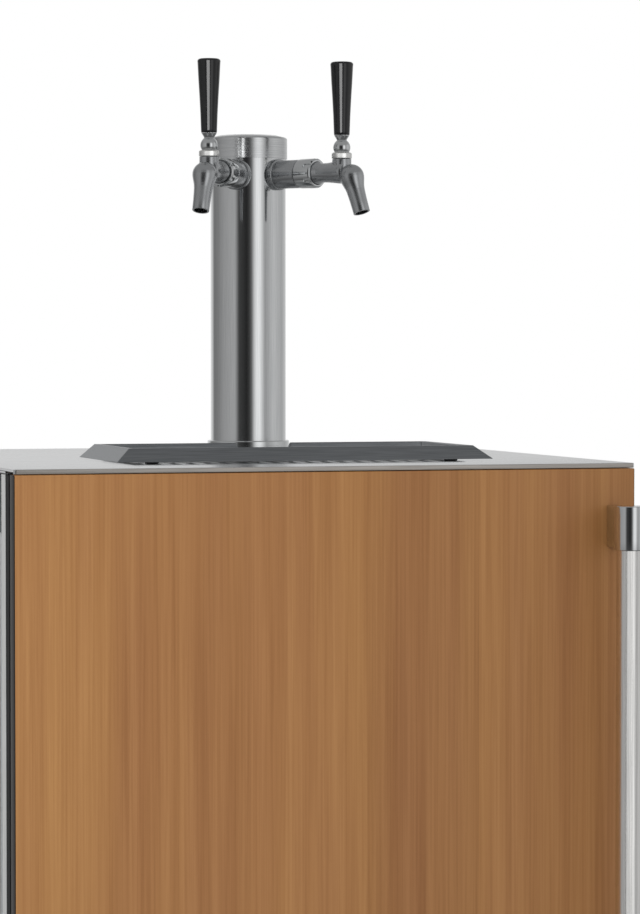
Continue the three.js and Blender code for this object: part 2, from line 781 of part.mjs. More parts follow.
function trayGrate() {
  const sheet = 1.5;
  const slotWidth = 7;
  const slotPitch = 17;
  const slotsAcross = 18;
  const slotRows = 2;
  const rowGap = 12;
  const border = 12;
  const low = panFloorZ + fit;
  const reach = panHalfWidth - fit;
  const front = panFrontY + fit;
  const back = panBackY - fit;
  let grate = block([-reach, reach], [front, back], [low, grateTop]);
  const underside = [low - overrun, grateTop - sheet];
  grate = grate.subtract(block([sheet - reach, reach - sheet], [front + sheet, back - sheet], underside));
  const rowLength = (back - front - 2 * border - rowGap * (slotRows - 1)) / slotRows;
  for (let row = 0; row < slotRows; row += 1) {
    for (let i = 0; i < slotsAcross; i += 1) {
      const x = (i - (slotsAcross - 1) / 2) * slotPitch;
      const y = front + border + row * (rowLength + rowGap);
      const upright = [grateTop - sheet - overrun, grateTop + overrun];
      grate = grate.subtract(block([x - slotWidth / 2, x + slotWidth / 2], [y, y + rowLength], upright));
    }
  }
  return grate;
}

const trayFootInsetX = 38;
const trayFootInsetY = 18;
const trayFootPitch = 90;
const trayFootPlaces = {
  front_left: [trayFootInsetX - trayWidth / 2, trayFrontY + trayFootInsetY],
  front_right: [trayWidth / 2 - trayFootInsetX, trayFrontY + trayFootInsetY],
  rear_left: [trayFootInsetX - trayWidth / 2, trayFrontY + trayFootInsetY + trayFootPitch],
  rear_right: [trayWidth / 2 - trayFootInsetX, trayFrontY + trayFootInsetY + trayFootPitch],
};

function trayFoot([x, y]) {
  const topRadius = 7;
  const bottomRadius = 6;
  const low = counterHeight + fit;
  const high = counterHeight + trayFootHeight - fit;
  return turned([[0, low], [bottomRadius, low], [topRadius, high], [0, high]], [x, y, 0], [0, 0, 1], 12);
}

// Tower

const capSkirt = 19.5;
const capDome = 5;
const capWall = 1.3;
const columnTop = counterHeight + towerHeight - capDome - capWall;
const shankRadius = 11;

const outwards = (side) => {
  const angle = THREE.MathUtils.degToRad(tapSplayDegrees);
  return [side * Math.sin(angle), -Math.cos(angle)];
};

function towerColumn() {
  const profile = ringProfile(columnRadius - columnWall, columnRadius, counterHeight + fit, columnTop);
  const tube = turned(profile, [0, towerY, 0], [0, 0, 1], 48);
  return [-1, 1].reduce((column, side) => {
    const [x, y] = outwards(side);
    const z = counterHeight + tapHeight;
    const far = columnRadius + overrun;
    return column.subtract(rod(shankRadius + fit, [0, towerY, z], [x * far, towerY + y * far, z], 24));
  }, tube);
}

function towerCap() {
  const inner = columnRadius + fit;
  const outer = inner + capWall;
  const skirtTop = counterHeight + towerHeight - capDome;
  const skirtLow = skirtTop - capSkirt;
  const crownRadius = 30;
  const shoulderShare = 0.55;
  return turned([
    [0, columnTop + fit],
    [inner, columnTop + fit],
    [inner, skirtLow],
    [outer, skirtLow],
    [outer, skirtTop],
    [outer - capWall, skirtTop + capDome * shoulderShare],
    [crownRadius, counterHeight + towerHeight - capWall / 2],
    [0, counterHeight + towerHeight],
  ], [0, towerY, 0], [0, 0, 1], 48);
}

function towerFlange() {
  const rimRadius = 49.5;
  const rimHeight = 6;
  const hubRadius = 41.5;
  const hubHeight = 16.5;
  const coveRadius = 5;
  const base = counterHeight + fit;
  const bore = columnRadius + fit;
  const coveCentre = [hubRadius + coveRadius, counterHeight + rimHeight + coveRadius];
  const cove = arcPoints(...coveCentre, coveRadius, -90, -180, 3);
  return turned([
    [bore, base],
    [rimRadius, base],
    [rimRadius, counterHeight + rimHeight],
    ...cove,
    [hubRadius, counterHeight + hubHeight],
    [bore, counterHeight + hubHeight],
    [bore, base],
  ], [0, towerY, 0], [0, 0, 1], 36);
}

// Tap, built with its outward direction along -Y and its origin on the counter under the column

const sleeveRadius = 14.2;
const sleeveEnd = 70;
const nutRadius = 14.8;
const nutEnd = 92;
const noseEnd = 79.5;
const shankTail = 23;
const socketRise = 13.3;
const bonnetHeight = 6;
const ballRadius = 8.6;
const ballRise = 5;
const ferruleRise = 12;
const studRadius = 4;
const studLength = 16;
const outward = [0, -1, 0];
const tapOrigin = [0, 0, tapHeight];
const socketTop = tapHeight + socketRise;
const bonnetTop = socketTop + bonnetHeight;
const ballHeight = bonnetTop + ballRise;
const ferruleTop = ballHeight + ferruleRise;
const studTop = ferruleTop + studLength;

function columnCore(radius) {
  return rod(radius, [0, 0, 0], [0, 0, towerHeight], 48);
}

function shank() {
  const collarRadius = 15.6;
  const collarEnd = 43;
  const lockNutRadius = 13.5;
  const lockNutStart = 27;
  const outer = joined(
    turned(ringProfile(0, sleeveRadius, lockNutStart, sleeveEnd), tapOrigin, outward, 20),
    turned(ringProfile(0, collarRadius, lockNutStart, collarEnd), tapOrigin, outward, 20),
  ).subtract(columnCore(columnRadius + fit));
  const lockNut = turned(ringProfile(0, lockNutRadius, lockNutStart, collarEnd), tapOrigin, outward, 6);
  const core = turned(ringProfile(0, shankRadius, shankTail, noseEnd), tapOrigin, outward, 20);
  return joined(outer, core, lockNut.intersect(columnCore(columnRadius - columnWall - fit)));
}

function couplingNut() {
  const bevel = 1.5;
  const notchWidth = 4;
  const notchDepth = 1.8;
  const notchLength = 9;
  const notchCount = 6;
  const start = sleeveEnd + fit;
  const end = nutEnd - fit;
  const bore = shankRadius + 2 * fit;
  let nut = turned([
    [bore, start],
    [nutRadius - bevel, start],
    [nutRadius, start + bevel],
    [nutRadius, end - bevel],
    [nutRadius - bevel, end],
    [bore, end],
    [bore, start],
  ], tapOrigin, outward, 24);
  for (let i = 0; i < notchCount; i += 1) {
    const geometry = new THREE.BoxGeometry(notchWidth, notchLength, 2 * notchDepth);
    geometry.translate(0, notchLength / 2 - end - overrun, nutRadius);
    geometry.rotateY(2 * Math.PI * i / notchCount);
    geometry.translate(0, 0, tapHeight);
    nut = nut.subtract(solidFrom(geometry));
  }
  return nut;
}

// A level body with a socket for the lever on top, whose rounded end runs down into the spout
function faucetBody() {
  const tailRadius = shankRadius + fit;
  const neckRadius = 9.5;
  const shoulderStart = nutEnd;
  const shoulderLength = 7;
  const bodyRadius = 11.5;
  const bodyOverhang = 6;
  const socketRadius = 9.5;
  const elbowRadius = 12;
  const elbowOffset = 12.4;
  const elbowDrop = 4.8;
  const throatRadius = 9.4;
  const throatLength = 13;
  const tipRadius = 8.3;
  const spoutLength = 38.3;
  const spoutLeanDegrees = 19.6;
  const spoutBore = 6;
  const spoutBoreDepth = 12;
  const lean = THREE.MathUtils.degToRad(spoutLeanDegrees);
  const spoutRun = [0, -Math.sin(lean), -Math.cos(lean)];
  const elbow = [0, -(leverReach + elbowOffset), tapHeight - elbowDrop];
  const along = (distance) => elbow.map((value, axis) => value + spoutRun[axis] * distance);
  const body = turned([
    [0, noseEnd + fit],
    [tailRadius, noseEnd + fit],
    [tailRadius, shoulderStart],
    [neckRadius, shoulderStart + shoulderLength],
    [bodyRadius, leverReach],
    [bodyRadius, leverReach + bodyOverhang],
    [0, leverReach + bodyOverhang],
  ], tapOrigin, outward, 16);
  const socket = uprightRod(socketRadius, 0, -leverReach, [tapHeight, socketTop], 16);
  const spout = turned([
    ...arcPoints(0, 0, elbowRadius, -90, 0, 5),
    [throatRadius, throatLength],
    [tipRadius, spoutLength],
    [0, spoutLength],
  ], elbow, spoutRun, 16);
  const bore = rod(spoutBore, along(spoutLength - spoutBoreDepth), along(spoutLength + overrun));
  return joined(body, socket, spout).subtract(bore);
}

function faucetBonnet() {
  const radius = 10;
  const bevel = 1;
  const ring = turned([
    [0, socketTop + fit],
    [radius, socketTop + fit],
    [radius, bonnetTop - bevel],
    [radius - bevel, bonnetTop],
    [0, bonnetTop],
  ], [0, -leverReach, 0], [0, 0, 1], 20);
  const socket = arcPoints(0, ballHeight, ballRadius + fit, -90, 90, 12);
  return ring.subtract(turned(socket, [0, -leverReach, 0], [0, 0, 1], 20));
}

function tapLever() {
  const neckRadius = 5;
  const ferruleRadius = 7.5;
  const neckDegrees = THREE.MathUtils.radToDeg(Math.acos(neckRadius / ballRadius));
  return turned([
    ...arcPoints(0, ballHeight, ballRadius, -90, neckDegrees, 8),
    [ferruleRadius, ferruleTop - fit],
    [ferruleRadius, ferruleTop],
    [studRadius, ferruleTop],
    [studRadius, studTop],
    [0, studTop],
  ], [0, -leverReach, 0], [0, 0, 1], 16);
}

function tapHandle() {
  const handleLength = 72.7;
  const low = ferruleTop + fit;
  const high = ferruleTop + handleLength;
  const lowRadius = 7.8;
  const highRadius = 11.3;
  const edge = 2.5;
  const bore = studRadius + fit;
  return turned([
    [bore, low],
    [lowRadius, low],
    [highRadius, high - edge],
    ...arcPoints(highRadius - edge, high - edge, edge, 0, 90, 3),
    [0, high],
    [0, studTop + fit],
    [bore, studTop + fit],
    [bore, low],
  ], [0, -leverReach, 0], [0, 0, 1], 20);
}

// Gas and beer fittings inside, standing on the step over the machine bay

const shelf = machineStepHeight + fit;
const cylinderSideInset = 68;
const cylinderInset = 87;
const cylinderRadius = 54;
const valveHeightShare = 0.68;
const valveShoulderGap = 34;
const valveBodyRise = 18;
const valveStemRise = 34;
const valveStemRadius = 4;
const valveOutletReach = 28;
const cylinderX = cylinderSideInset - chamberHalfWidth;
const cylinderY = stepFrontY + cylinderInset;
const valveHeight = machineStepHeight + (chamberTop - machineStepHeight) * valveHeightShare;
const valveBodyTop = valveHeight + valveBodyRise;
const valveStemTop = valveHeight + valveStemRise;

function gasCylinder() {
  const footEdge = 6;
  const shoulder = 40;
  const neckRadius = 16;
  const neckLength = 12;
  const bodyRadius = 13;
  const outletRadius = 10;
  const shoulderTop = valveHeight - valveShoulderGap;
  const neckTop = shoulderTop + neckLength;
  const shell = turned([
    [0, shelf],
    [cylinderRadius - footEdge, shelf],
    [cylinderRadius, shelf + footEdge],
    ...arcPoints(cylinderRadius - shoulder, shoulderTop - shoulder, shoulder, 0, 75, 4),
    [neckRadius, shoulderTop],
    [neckRadius, neckTop],
    [bodyRadius, neckTop],
    [bodyRadius, valveBodyTop],
    [valveStemRadius, valveBodyTop],
    [valveStemRadius, valveStemTop],
    [0, valveStemTop],
  ], [cylinderX, cylinderY, 0], [0, 0, 1], 20);
  const outletEnds = [cylinderX, cylinderX + valveOutletReach];
  return joined(shell, rodAlongX(outletRadius, outletEnds, cylinderY, valveHeight));
}

function valveHandwheel() {
  const wheelRadius = 20;
  const gripCount = 8;
  const gripRadius = 2.2;
  const low = valveBodyTop + fit;
  const high = valveStemTop - fit;
  const bevel = 2;
  const bore = valveStemRadius + fit;
  let wheel = turned([
    [bore, low],
    [wheelRadius, low],
    [wheelRadius, high - bevel],
    [wheelRadius - bevel, high],
    [bore, high],
    [bore, low],
  ], [cylinderX, cylinderY, 0], [0, 0, 1], 24);
  for (let i = 0; i < gripCount; i += 1) {
    const angle = 2 * Math.PI * i / gripCount;
    const x = cylinderX + wheelRadius * Math.cos(angle);
    const y = cylinderY + wheelRadius * Math.sin(angle);
    wheel = wheel.subtract(uprightRod(gripRadius, x, y, [low - overrun, high + overrun], 6));
  }
  return wheel;
}

const regulatorReach = 76;
const regulatorRadius = 25;
const regulatorDepth = 36;
const regulatorScrewRadius = 5;
const regulatorScrewReach = 18;
const gasOutletDrop = 48;
const gasOutletOffset = 10;
const regulatorX = cylinderX + regulatorReach;
const regulatorFrontY = cylinderY - regulatorDepth / 2;
const gasOutletLow = valveHeight - gasOutletDrop;

function regulator() {
  const inletRadius = 15;
  const inletStart = cylinderX + valveOutletReach + fit;
  const gaugeRadius = 25;
  const gaugeDepth = 22;
  const gaugeOffset = 58;
  const stemRadius = 6;
  const barbRadius = 5;
  const centre = [regulatorX, cylinderY, valveHeight];
  const thickness = (depth) => [cylinderY - depth / 2, cylinderY + depth / 2];
  const gauge = (x, z) => joined(
    rodAlongY(gaugeRadius, x, thickness(gaugeDepth), z, 24),
    rod(stemRadius, centre, [x, cylinderY, z], 10),
  );
  const barbs = [-1, 1].map((side) => {
    const x = regulatorX + side * gasOutletOffset;
    return uprightRod(barbRadius, x, cylinderY, [valveHeight, gasOutletLow], 10);
  });
  const screwEnds = [cylinderY, regulatorFrontY - regulatorScrewReach];
  return joined(
    rodAlongY(regulatorRadius, regulatorX, thickness(regulatorDepth), valveHeight, 24),
    rodAlongX(inletRadius, [inletStart, regulatorX], cylinderY, valveHeight, 6),
    gauge(regulatorX + gaugeOffset, valveHeight),
    gauge(regulatorX, valveHeight + gaugeOffset),
    ...barbs,
    rodAlongY(regulatorScrewRadius, regulatorX, screwEnds, valveHeight, 12),
  );
}

function regulatorKnob() {
  const knobRadius = 16;
  const knobLength = 26;
  const ribCount = 10;
  const ribRadius = 2;
  const rearY = regulatorFrontY - fit;
  const frontY = rearY - knobLength;
  let knob = rodAlongY(knobRadius, regulatorX, [rearY, frontY], valveHeight, 30);
  for (let i = 0; i < ribCount; i += 1) {
    const angle = 2 * Math.PI * i / ribCount;
    const x = regulatorX + knobRadius * Math.cos(angle);
    const z = valveHeight + knobRadius * Math.sin(angle);
    knob = knob.subtract(rodAlongY(ribRadius, x, [rearY + overrun, frontY - overrun], z, 6));
  }
  const boreEnds = [rearY + overrun, regulatorFrontY - regulatorScrewReach - fit];
  return knob.subtract(rodAlongY(regulatorScrewRadius + fit, regulatorX, boreEnds, valveHeight, 12));
}

const couplerLeftShare = 0.04;
const couplerRightShare = 0.54;
const couplerInset = 78;
const couplerInletRise = 46;
const couplerInletReach = 38;
const couplerOutletRise = 112;
const couplerPivotRise = 62;
const couplerPivotOffset = 30;
const couplerPinRadius = 3;
const couplerArmWidth = 10;
const couplerX = {
  left: chamberHalfWidth * couplerLeftShare,
  right: chamberHalfWidth * couplerRightShare,
};
const couplerY = chamberBackY - couplerInset;
const couplerInletHeight = machineStepHeight + couplerInletRise;
const couplerOutletTop = machineStepHeight + couplerOutletRise;
const couplerPivotHeight = machineStepHeight + couplerPivotRise;
const couplerPivotY = couplerY - couplerPivotOffset;

function kegCoupler(x) {
  const lockRadius = 28;
  const lockHeight = 20;
  const bodyRadius = 19;
  const bodyHeight = 78;
  const nutRadius = 13;
  const nutHeight = 16;
  const barbRadius = 5;
  const inletRadius = 7;
  const lugThickness = 4;
  const lugHalfHeight = 8;
  const lockTop = machineStepHeight + lockHeight;
  const bodyTop = machineStepHeight + bodyHeight;
  const body = turned([
    [0, shelf],
    [lockRadius, shelf],
    [lockRadius, lockTop],
    [bodyRadius, lockTop + lockRadius - bodyRadius],
    [bodyRadius, bodyTop],
    [barbRadius, bodyTop],
    [barbRadius, couplerOutletTop],
    [0, couplerOutletTop],
  ], [x, couplerY, 0], [0, 0, 1], 16);
  const nut = uprightRod(nutRadius, x, couplerY, [bodyTop - overrun, bodyTop + nutHeight], 6);
  const inlet = rodAlongX(inletRadius, [x, x - couplerInletReach], couplerY, couplerInletHeight, 12);
  const lugs = [-1, 1].map((side) => {
    const near = x + side * (couplerArmWidth / 2 + fit);
    const along = [couplerPivotY - lugHalfHeight, couplerY];
    const upright = [couplerPivotHeight - lugHalfHeight, couplerPivotHeight + lugHalfHeight];
    return block([near, near + side * lugThickness], along, upright);
  });
  const pinReach = couplerArmWidth / 2 + fit + lugThickness;
  const pinEnds = [x - pinReach, x + pinReach];
  const pin = rodAlongX(couplerPinRadius, pinEnds, couplerPivotY, couplerPivotHeight, 12);
  return joined(body, nut, inlet, ...lugs, pin);
}

// The lever that pushes the probe down, standing up while no keg is tapped
function couplerHandle(x) {
  const hubRadius = 7;
  const armLength = 88;
  const armHalfThickness = 4;
  const gripRadius = 8;
  const gripStart = 34;
  const gripChamfer = 2;
  const gripChamferLength = 6;
  const gripEndRadius = 5;
  const halfWide = couplerArmWidth / 2;
  const onPivot = (radius, reach, sides) => {
    return rodAlongX(radius, [x - reach, x + reach], couplerPivotY, couplerPivotHeight, sides);
  };
  const arm = block(
    [x - halfWide, x + halfWide],
    [couplerPivotY - armHalfThickness, couplerPivotY + armHalfThickness],
    [couplerPivotHeight, couplerPivotHeight + gripStart + overrun],
  );
  const grip = turned([
    [0, gripStart],
    [gripRadius - gripChamfer, gripStart],
    [gripRadius, gripStart + gripChamferLength],
    [gripRadius, armLength - gripChamferLength],
    [gripEndRadius, armLength],
    [0, armLength],
  ], [x, couplerPivotY, couplerPivotHeight], [0, 0, 1], 16);
  const bore = onPivot(couplerPinRadius + fit, halfWide + overrun, 12);
  return joined(onPivot(hubRadius, halfWide, 16), arm, grip).subtract(bore);
}

// Beer lines, from a coupler up through the ceiling and the column to the back of a shank
function beerLine(side, x) {
  const tailLength = 5;
  const laneSetback = 4;
  const bendForward = 7;
  const bendDrop = 16;
  const laneDrop = 42;
  const holeDrop = 12;
  const upperShare = 0.06;
  const upperSetback = 16;
  const upperDropShare = 0.141;
  const middleShare = 0.45;
  const middleSetback = 78;
  const middleDropShare = 0.317;
  const lowerShare = 0.9;
  const lowerForward = 18;
  const lowerDropShare = 0.631;
  const straightRise = 34;
  const [outX, outY] = outwards(side);
  const shankHeight = counterHeight + tapHeight;
  const start = shankTail - fit;
  const tailEnd = start - tailLength;
  const laneX = side * beerLineSpacing / 2;
  const laneY = towerY + laneSetback;
  const straightTop = couplerOutletTop + straightRise;
  const towards = (share) => laneX + (x - laneX) * share;
  const below = (share) => chamberTop - (chamberTop - straightTop) * share;
  return hose([
    [outX * start, towerY + outY * start, shankHeight],
    [outX * tailEnd, towerY + outY * tailEnd, shankHeight],
    [laneX, laneY - bendForward, shankHeight - bendDrop],
    [laneX, laneY, shankHeight - laneDrop],
    [laneX, laneY, counterHeight],
    [laneX, laneY, chamberTop - holeDrop],
    [towards(upperShare), laneY + upperSetback, below(upperDropShare)],
    [towards(middleShare), laneY + middleSetback, below(middleDropShare)],
    [towards(lowerShare), couplerY - lowerForward, below(lowerDropShare)],
    [x, couplerY, straightTop],
    [x, couplerY, couplerOutletTop + fit],
  ], beerLineDiameter, 44);
}

// Gas lines, from the regulator's outlets down to the couplers' inlets
const gasStraightDrop = 22;
const gasInletStraight = 18;
const gasFall = gasOutletLow - couplerInletHeight;

function gasLineLeft() {
  const fallShare = 0.4;
  const fallSideShare = 0.03;
  const fallForward = 6;
  const turnShare = 0.74;
  const turnSideShare = 0.23;
  const turnBack = 4;
  const restSideShare = 0.57;
  const restForward = 4;
  const restRise = 12;
  const startX = regulatorX - gasOutletOffset;
  const endX = couplerX.left - couplerInletReach;
  const towards = (share) => startX + (endX - startX) * share;
  return hose([
    [startX, cylinderY, gasOutletLow - fit],
    [startX, cylinderY, gasOutletLow - gasStraightDrop],
    [towards(fallSideShare), cylinderY - fallForward, gasOutletLow - gasFall * fallShare],
    [towards(turnSideShare), cylinderY + turnBack, gasOutletLow - gasFall * turnShare],
    [towards(restSideShare), couplerY - restForward, couplerInletHeight + restRise],
    [endX - gasInletStraight, couplerY, couplerInletHeight],
    [endX - fit, couplerY, couplerInletHeight],
  ], gasLineDiameter, 22);
}

function gasLineRight() {
  const fallShare = 0.37;
  const fallRight = 22;
  const fallBack = 16;
  const turnShare = 0.59;
  const turnBack = 38;
  const restSideShare = 0.29;
  const restBack = 22;
  const restRise = 38;
  const startX = regulatorX + gasOutletOffset;
  const endX = couplerX.right - couplerInletReach;
  const restLeft = (couplerX.right - couplerX.left) * restSideShare;
  return hose([
    [startX, cylinderY, gasOutletLow - fit],
    [startX, cylinderY, gasOutletLow - gasStraightDrop],
    [startX + fallRight, couplerY + fallBack, gasOutletLow - gasFall * fallShare],
    [couplerX.left, couplerY + turnBack, gasOutletLow - gasFall * turnShare],
    [endX - restLeft, couplerY + restBack, couplerInletHeight + restRise],
    [endX - gasInletStraight, couplerY, couplerInletHeight],
    [endX - fit, couplerY, couplerInletHeight],
  ], gasLineDiameter, 24);
}

// Assembly

addPiece('side_panel_left', sidePanel(-1), finishes.paintedSteel);
addPiece('side_panel_right', sidePanel(1), finishes.paintedSteel);
addPiece('top_panel', topPanel(), finishes.stainless);
addPiece('back_panel', backPanel(), finishes.galvanised);
addPiece('cabinet_insulation', cabinetInsulation(), finishes.foam);
addPiece('cabinet_liner', cabinetLiner(), finishes.stainless);
addPiece('base_pan', basePan(), finishes.galvanised);
addPiece('toe_grille', toeGrille(), finishes.blackPaint);
for (const [place, point] of Object.entries(legPlaces)) {
  addPiece(`leveling_leg_${place}`, levelingLeg(point), finishes.galvanised);
}
addPiece('compressor', compressor(), finishes.blackPaint);
addPiece('condenser', condenser(), finishes.aluminium);
addPiece(
  'condenser_fan',
  fanWheel(fanX, fanHeight, fanFrontY, fanLength, fanRadius, fanShaftRadius),
  finishes.blackPlastic,
);
addPiece('evaporator_housing', evaporatorHousing(), finishes.whitePlastic);
addPiece(
  'evaporator_fan',
  fanWheel(0, evaporatorFanHeight, evaporatorFanY, evaporatorFanLength, evaporatorFanRadius, fanShaftRadius),
  finishes.blackPlastic,
);

addPiece('door_shell', doorShell(), finishes.stainless);
addPiece('door_insulation', doorInsulation(), finishes.foam);
addPiece('door_liner', doorLiner(), finishes.stainless);
addPiece('door_gasket', doorGasket(), finishes.greyRubber);
addPiece('wood_panel', woodPanel(), finishes.wood);
addPiece('hinge_top', hinge(1), finishes.stainless);
addPiece('hinge_bottom', hinge(-1), finishes.stainless);
addPiece('handle_bar', handleBar(), finishes.brushedBar);
addPiece('handle_bracket_top', handleBracket(1), finishes.chrome);
addPiece('handle_bracket_bottom', handleBracket(-1), finishes.chrome);

addPiece('tray_pan', trayPan(), finishes.darkStainless);
addPiece('tray_grate', trayGrate(), finishes.darkStainless);
for (const [place, point] of Object.entries(trayFootPlaces)) {
  addPiece(`tray_foot_${place}`, trayFoot(point), finishes.blackRubber);
}

addPiece('tower_column', towerColumn(), finishes.stainless);
addPiece('tower_cap', towerCap(), finishes.stainless);
addPiece('tower_flange', towerFlange(), finishes.chrome);
for (const [place, side] of [['left', -1], ['right', 1]]) {
  const tap = new THREE.Group();
  tap.position.set(0, towerY, counterHeight);
  tap.rotation.z = side * THREE.MathUtils.degToRad(tapSplayDegrees);
  dispenser.add(tap);
  addPiece(`shank_${place}`, shank(), finishes.chrome, tap);
  addPiece(`coupling_nut_${place}`, couplingNut(), finishes.chrome, tap);
  addPiece(`faucet_body_${place}`, faucetBody(), finishes.chrome, tap);
  addPiece(`faucet_bonnet_${place}`, faucetBonnet(), finishes.chrome, tap);
  addPiece(`tap_lever_${place}`, tapLever(), finishes.chrome, tap);
  addPiece(`tap_handle_${place}`, tapHandle(), finishes.blackPlastic, tap);
  addPiece(`beer_line_${place}`, beerLine(side, couplerX[place]), finishes.beerHose);
  addPiece(`keg_coupler_${place}`, kegCoupler(couplerX[place]), finishes.chrome);
  addPiece(`coupler_handle_${place}`, couplerHandle(couplerX[place]), finishes.blackPlastic);
}

addPiece('gas_cylinder', gasCylinder(), finishes.aluminium);
addPiece('valve_handwheel', valveHandwheel(), finishes.blackPlastic);
addPiece('regulator', regulator(), finishes.brass);
addPiece('regulator_knob', regulatorKnob(), finishes.blackPlastic);
addPiece('gas_line_left', gasLineLeft(), finishes.gasHose);
addPiece('gas_line_right', gasLineRight(), finishes.gasHose);

export default dispenser;
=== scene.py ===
import math
import bmesh
import bpy
from mathutils import Matrix, Vector


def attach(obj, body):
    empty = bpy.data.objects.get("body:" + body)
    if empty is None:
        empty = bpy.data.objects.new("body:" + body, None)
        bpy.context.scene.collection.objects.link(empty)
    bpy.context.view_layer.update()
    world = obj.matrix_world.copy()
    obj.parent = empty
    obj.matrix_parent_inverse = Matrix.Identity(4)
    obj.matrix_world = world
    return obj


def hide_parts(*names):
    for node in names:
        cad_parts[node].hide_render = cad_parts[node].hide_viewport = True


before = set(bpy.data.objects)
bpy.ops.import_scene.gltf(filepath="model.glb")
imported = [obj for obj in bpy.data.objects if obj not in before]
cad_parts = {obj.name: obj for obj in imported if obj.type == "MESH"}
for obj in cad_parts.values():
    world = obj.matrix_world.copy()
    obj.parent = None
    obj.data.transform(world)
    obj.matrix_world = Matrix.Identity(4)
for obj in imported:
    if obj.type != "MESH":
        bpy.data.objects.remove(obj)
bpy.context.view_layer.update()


# The top is one sheet of stainless steel that covers the cabinet and the door, folded under along
# its front edge. It was brushed from side to side before it was cut, and its corners are eased.
# Forms are in millimetres until a mesh is finished. Floor, lamps and camera are in metres.
METRES = 0.001


def linear(hex_colour):
    """An sRGB colour such as "9a7049" as the linear colour a shader takes."""
    channels = [int(hex_colour[i:i + 2], 16) / 255 for i in (0, 2, 4)]
    return [c / 12.92 if c <= 0.04045 else ((c + 0.055) / 1.055) ** 2.4 for c in channels] + [1]


def add_node(tree, kind, settings=None, inputs=None):
    """Adds a shader node. An input is a value, or the output of another node that feeds it."""
    made = tree.nodes.new("ShaderNode" + kind)
    for name, value in (settings or {}).items():
        setattr(made, name, value)
    for name, value in (inputs or {}).items():
        if isinstance(value, bpy.types.NodeSocket):
            tree.links.new(value, made.inputs[name])
        else:
            made.inputs[name].default_value = value
    return made


def new_material(name, shader_inputs):
    """A material with one principled shader, and that shader."""
    material = bpy.data.materials.new(name)
    material.use_nodes = True
    shader = material.node_tree.nodes["Principled BSDF"]
    for socket, value in shader_inputs.items():
        shader.inputs[socket].default_value = value
    return material, shader


def stretched_noise(tree, spacing, stretch, detail=3.0, seed=0.0):
    """Noise whose grains are `spacing` mm wide, made longer on each axis by `stretch`."""
    place = add_node(tree, "TexCoord")
    scale = [1 / (spacing * METRES * times) for times in stretch]
    inputs = {"Vector": place.outputs["Object"], "Location": (seed, seed, seed), "Scale": scale}
    fitted = add_node(tree, "Mapping", {}, inputs)
    inputs = {"Vector": fitted.outputs["Vector"], "Scale": 1.0, "Detail": detail}
    return add_node(tree, "TexNoise", {}, inputs).outputs["Fac"]


def mixed_colours(tree, share, first, second, low=0.35, high=0.65):
    """The first colour where the share is low, passing to the second where it is high."""
    ramp = add_node(tree, "ValToRGB", {}, {"Fac": share})
    ramp.color_ramp.elements[0].position = low
    ramp.color_ramp.elements[0].color = linear(first)
    ramp.color_ramp.elements[1].position = high
    ramp.color_ramp.elements[1].color = linear(second)
    return ramp.outputs["Color"]


def ranged(tree, share, low, high):
    """The share as a number between low and high."""
    return add_node(tree, "MapRange", {}, {"Value": share, "To Min": low, "To Max": high}).outputs["Result"]


def add_bump(tree, shader, height, depth):
    """Relief of that many millimetres from a height between 0 and 1."""
    bump = add_node(tree, "Bump", {}, {"Height": height, "Distance": depth * METRES})
    tree.links.new(bump.outputs["Normal"], shader.inputs["Normal"])


def brushed_steel(name, light, dark, gloss, stretch, spacing=0.9, metallic=1.0):
    """Stainless steel with its brushing along the long axis of `stretch`. The real lines are about
    0.1 mm apart, and are drawn coarser so that they show."""
    material, shader = new_material(name, {"Metallic": metallic})
    tree = material.node_tree
    lines = stretched_noise(tree, spacing, stretch)
    tree.links.new(mixed_colours(tree, lines, dark, light), shader.inputs["Base Color"])
    tree.links.new(ranged(tree, lines, gloss + 0.08, gloss), shader.inputs["Roughness"])
    add_bump(tree, shader, lines, 0.01)
    return material


def block(low, high, edge=0.0):
    """A closed box between two corners, its edges rounded by a radius."""
    shape = bmesh.new()
    bmesh.ops.create_cube(shape, size=1.0)
    size = Vector(high) - Vector(low)
    bmesh.ops.scale(shape, vec=size, verts=shape.verts)
    bmesh.ops.translate(shape, vec=Vector(low) + size / 2, verts=shape.verts)
    if edge:
        bmesh.ops.bevel(
            shape, geom=shape.edges[:], offset=edge, segments=3, affect="EDGES", profile=0.5, material=-1,
        )
    return shape


def joined(*shapes):
    """Several meshes in one, without cutting them where they cross."""
    whole = bmesh.new()
    for shape in shapes:
        loose = bpy.data.meshes.new("loose")
        shape.to_mesh(loose)
        whole.from_mesh(loose)
        shape.free()
        bpy.data.meshes.remove(loose)
    return whole


def combined(first, second, operation="DIFFERENCE"):
    """Cuts the second closed mesh out of the first, or makes the two one."""
    holders = []
    for shape in (first, second):
        holder = bpy.data.objects.new("holder", bpy.data.meshes.new("holder"))
        shape.to_mesh(holder.data)
        shape.free()
        bpy.context.collection.objects.link(holder)
        holders.append(holder)
    step = holders[0].modifiers.new("combined", "BOOLEAN")
    step.operation = operation
    step.solver = "EXACT"
    step.object = holders[1]
    result = bmesh.new()
    result.from_object(holders[0], bpy.context.evaluated_depsgraph_get())
    for holder in holders:
        bpy.data.objects.remove(holder)
    return result


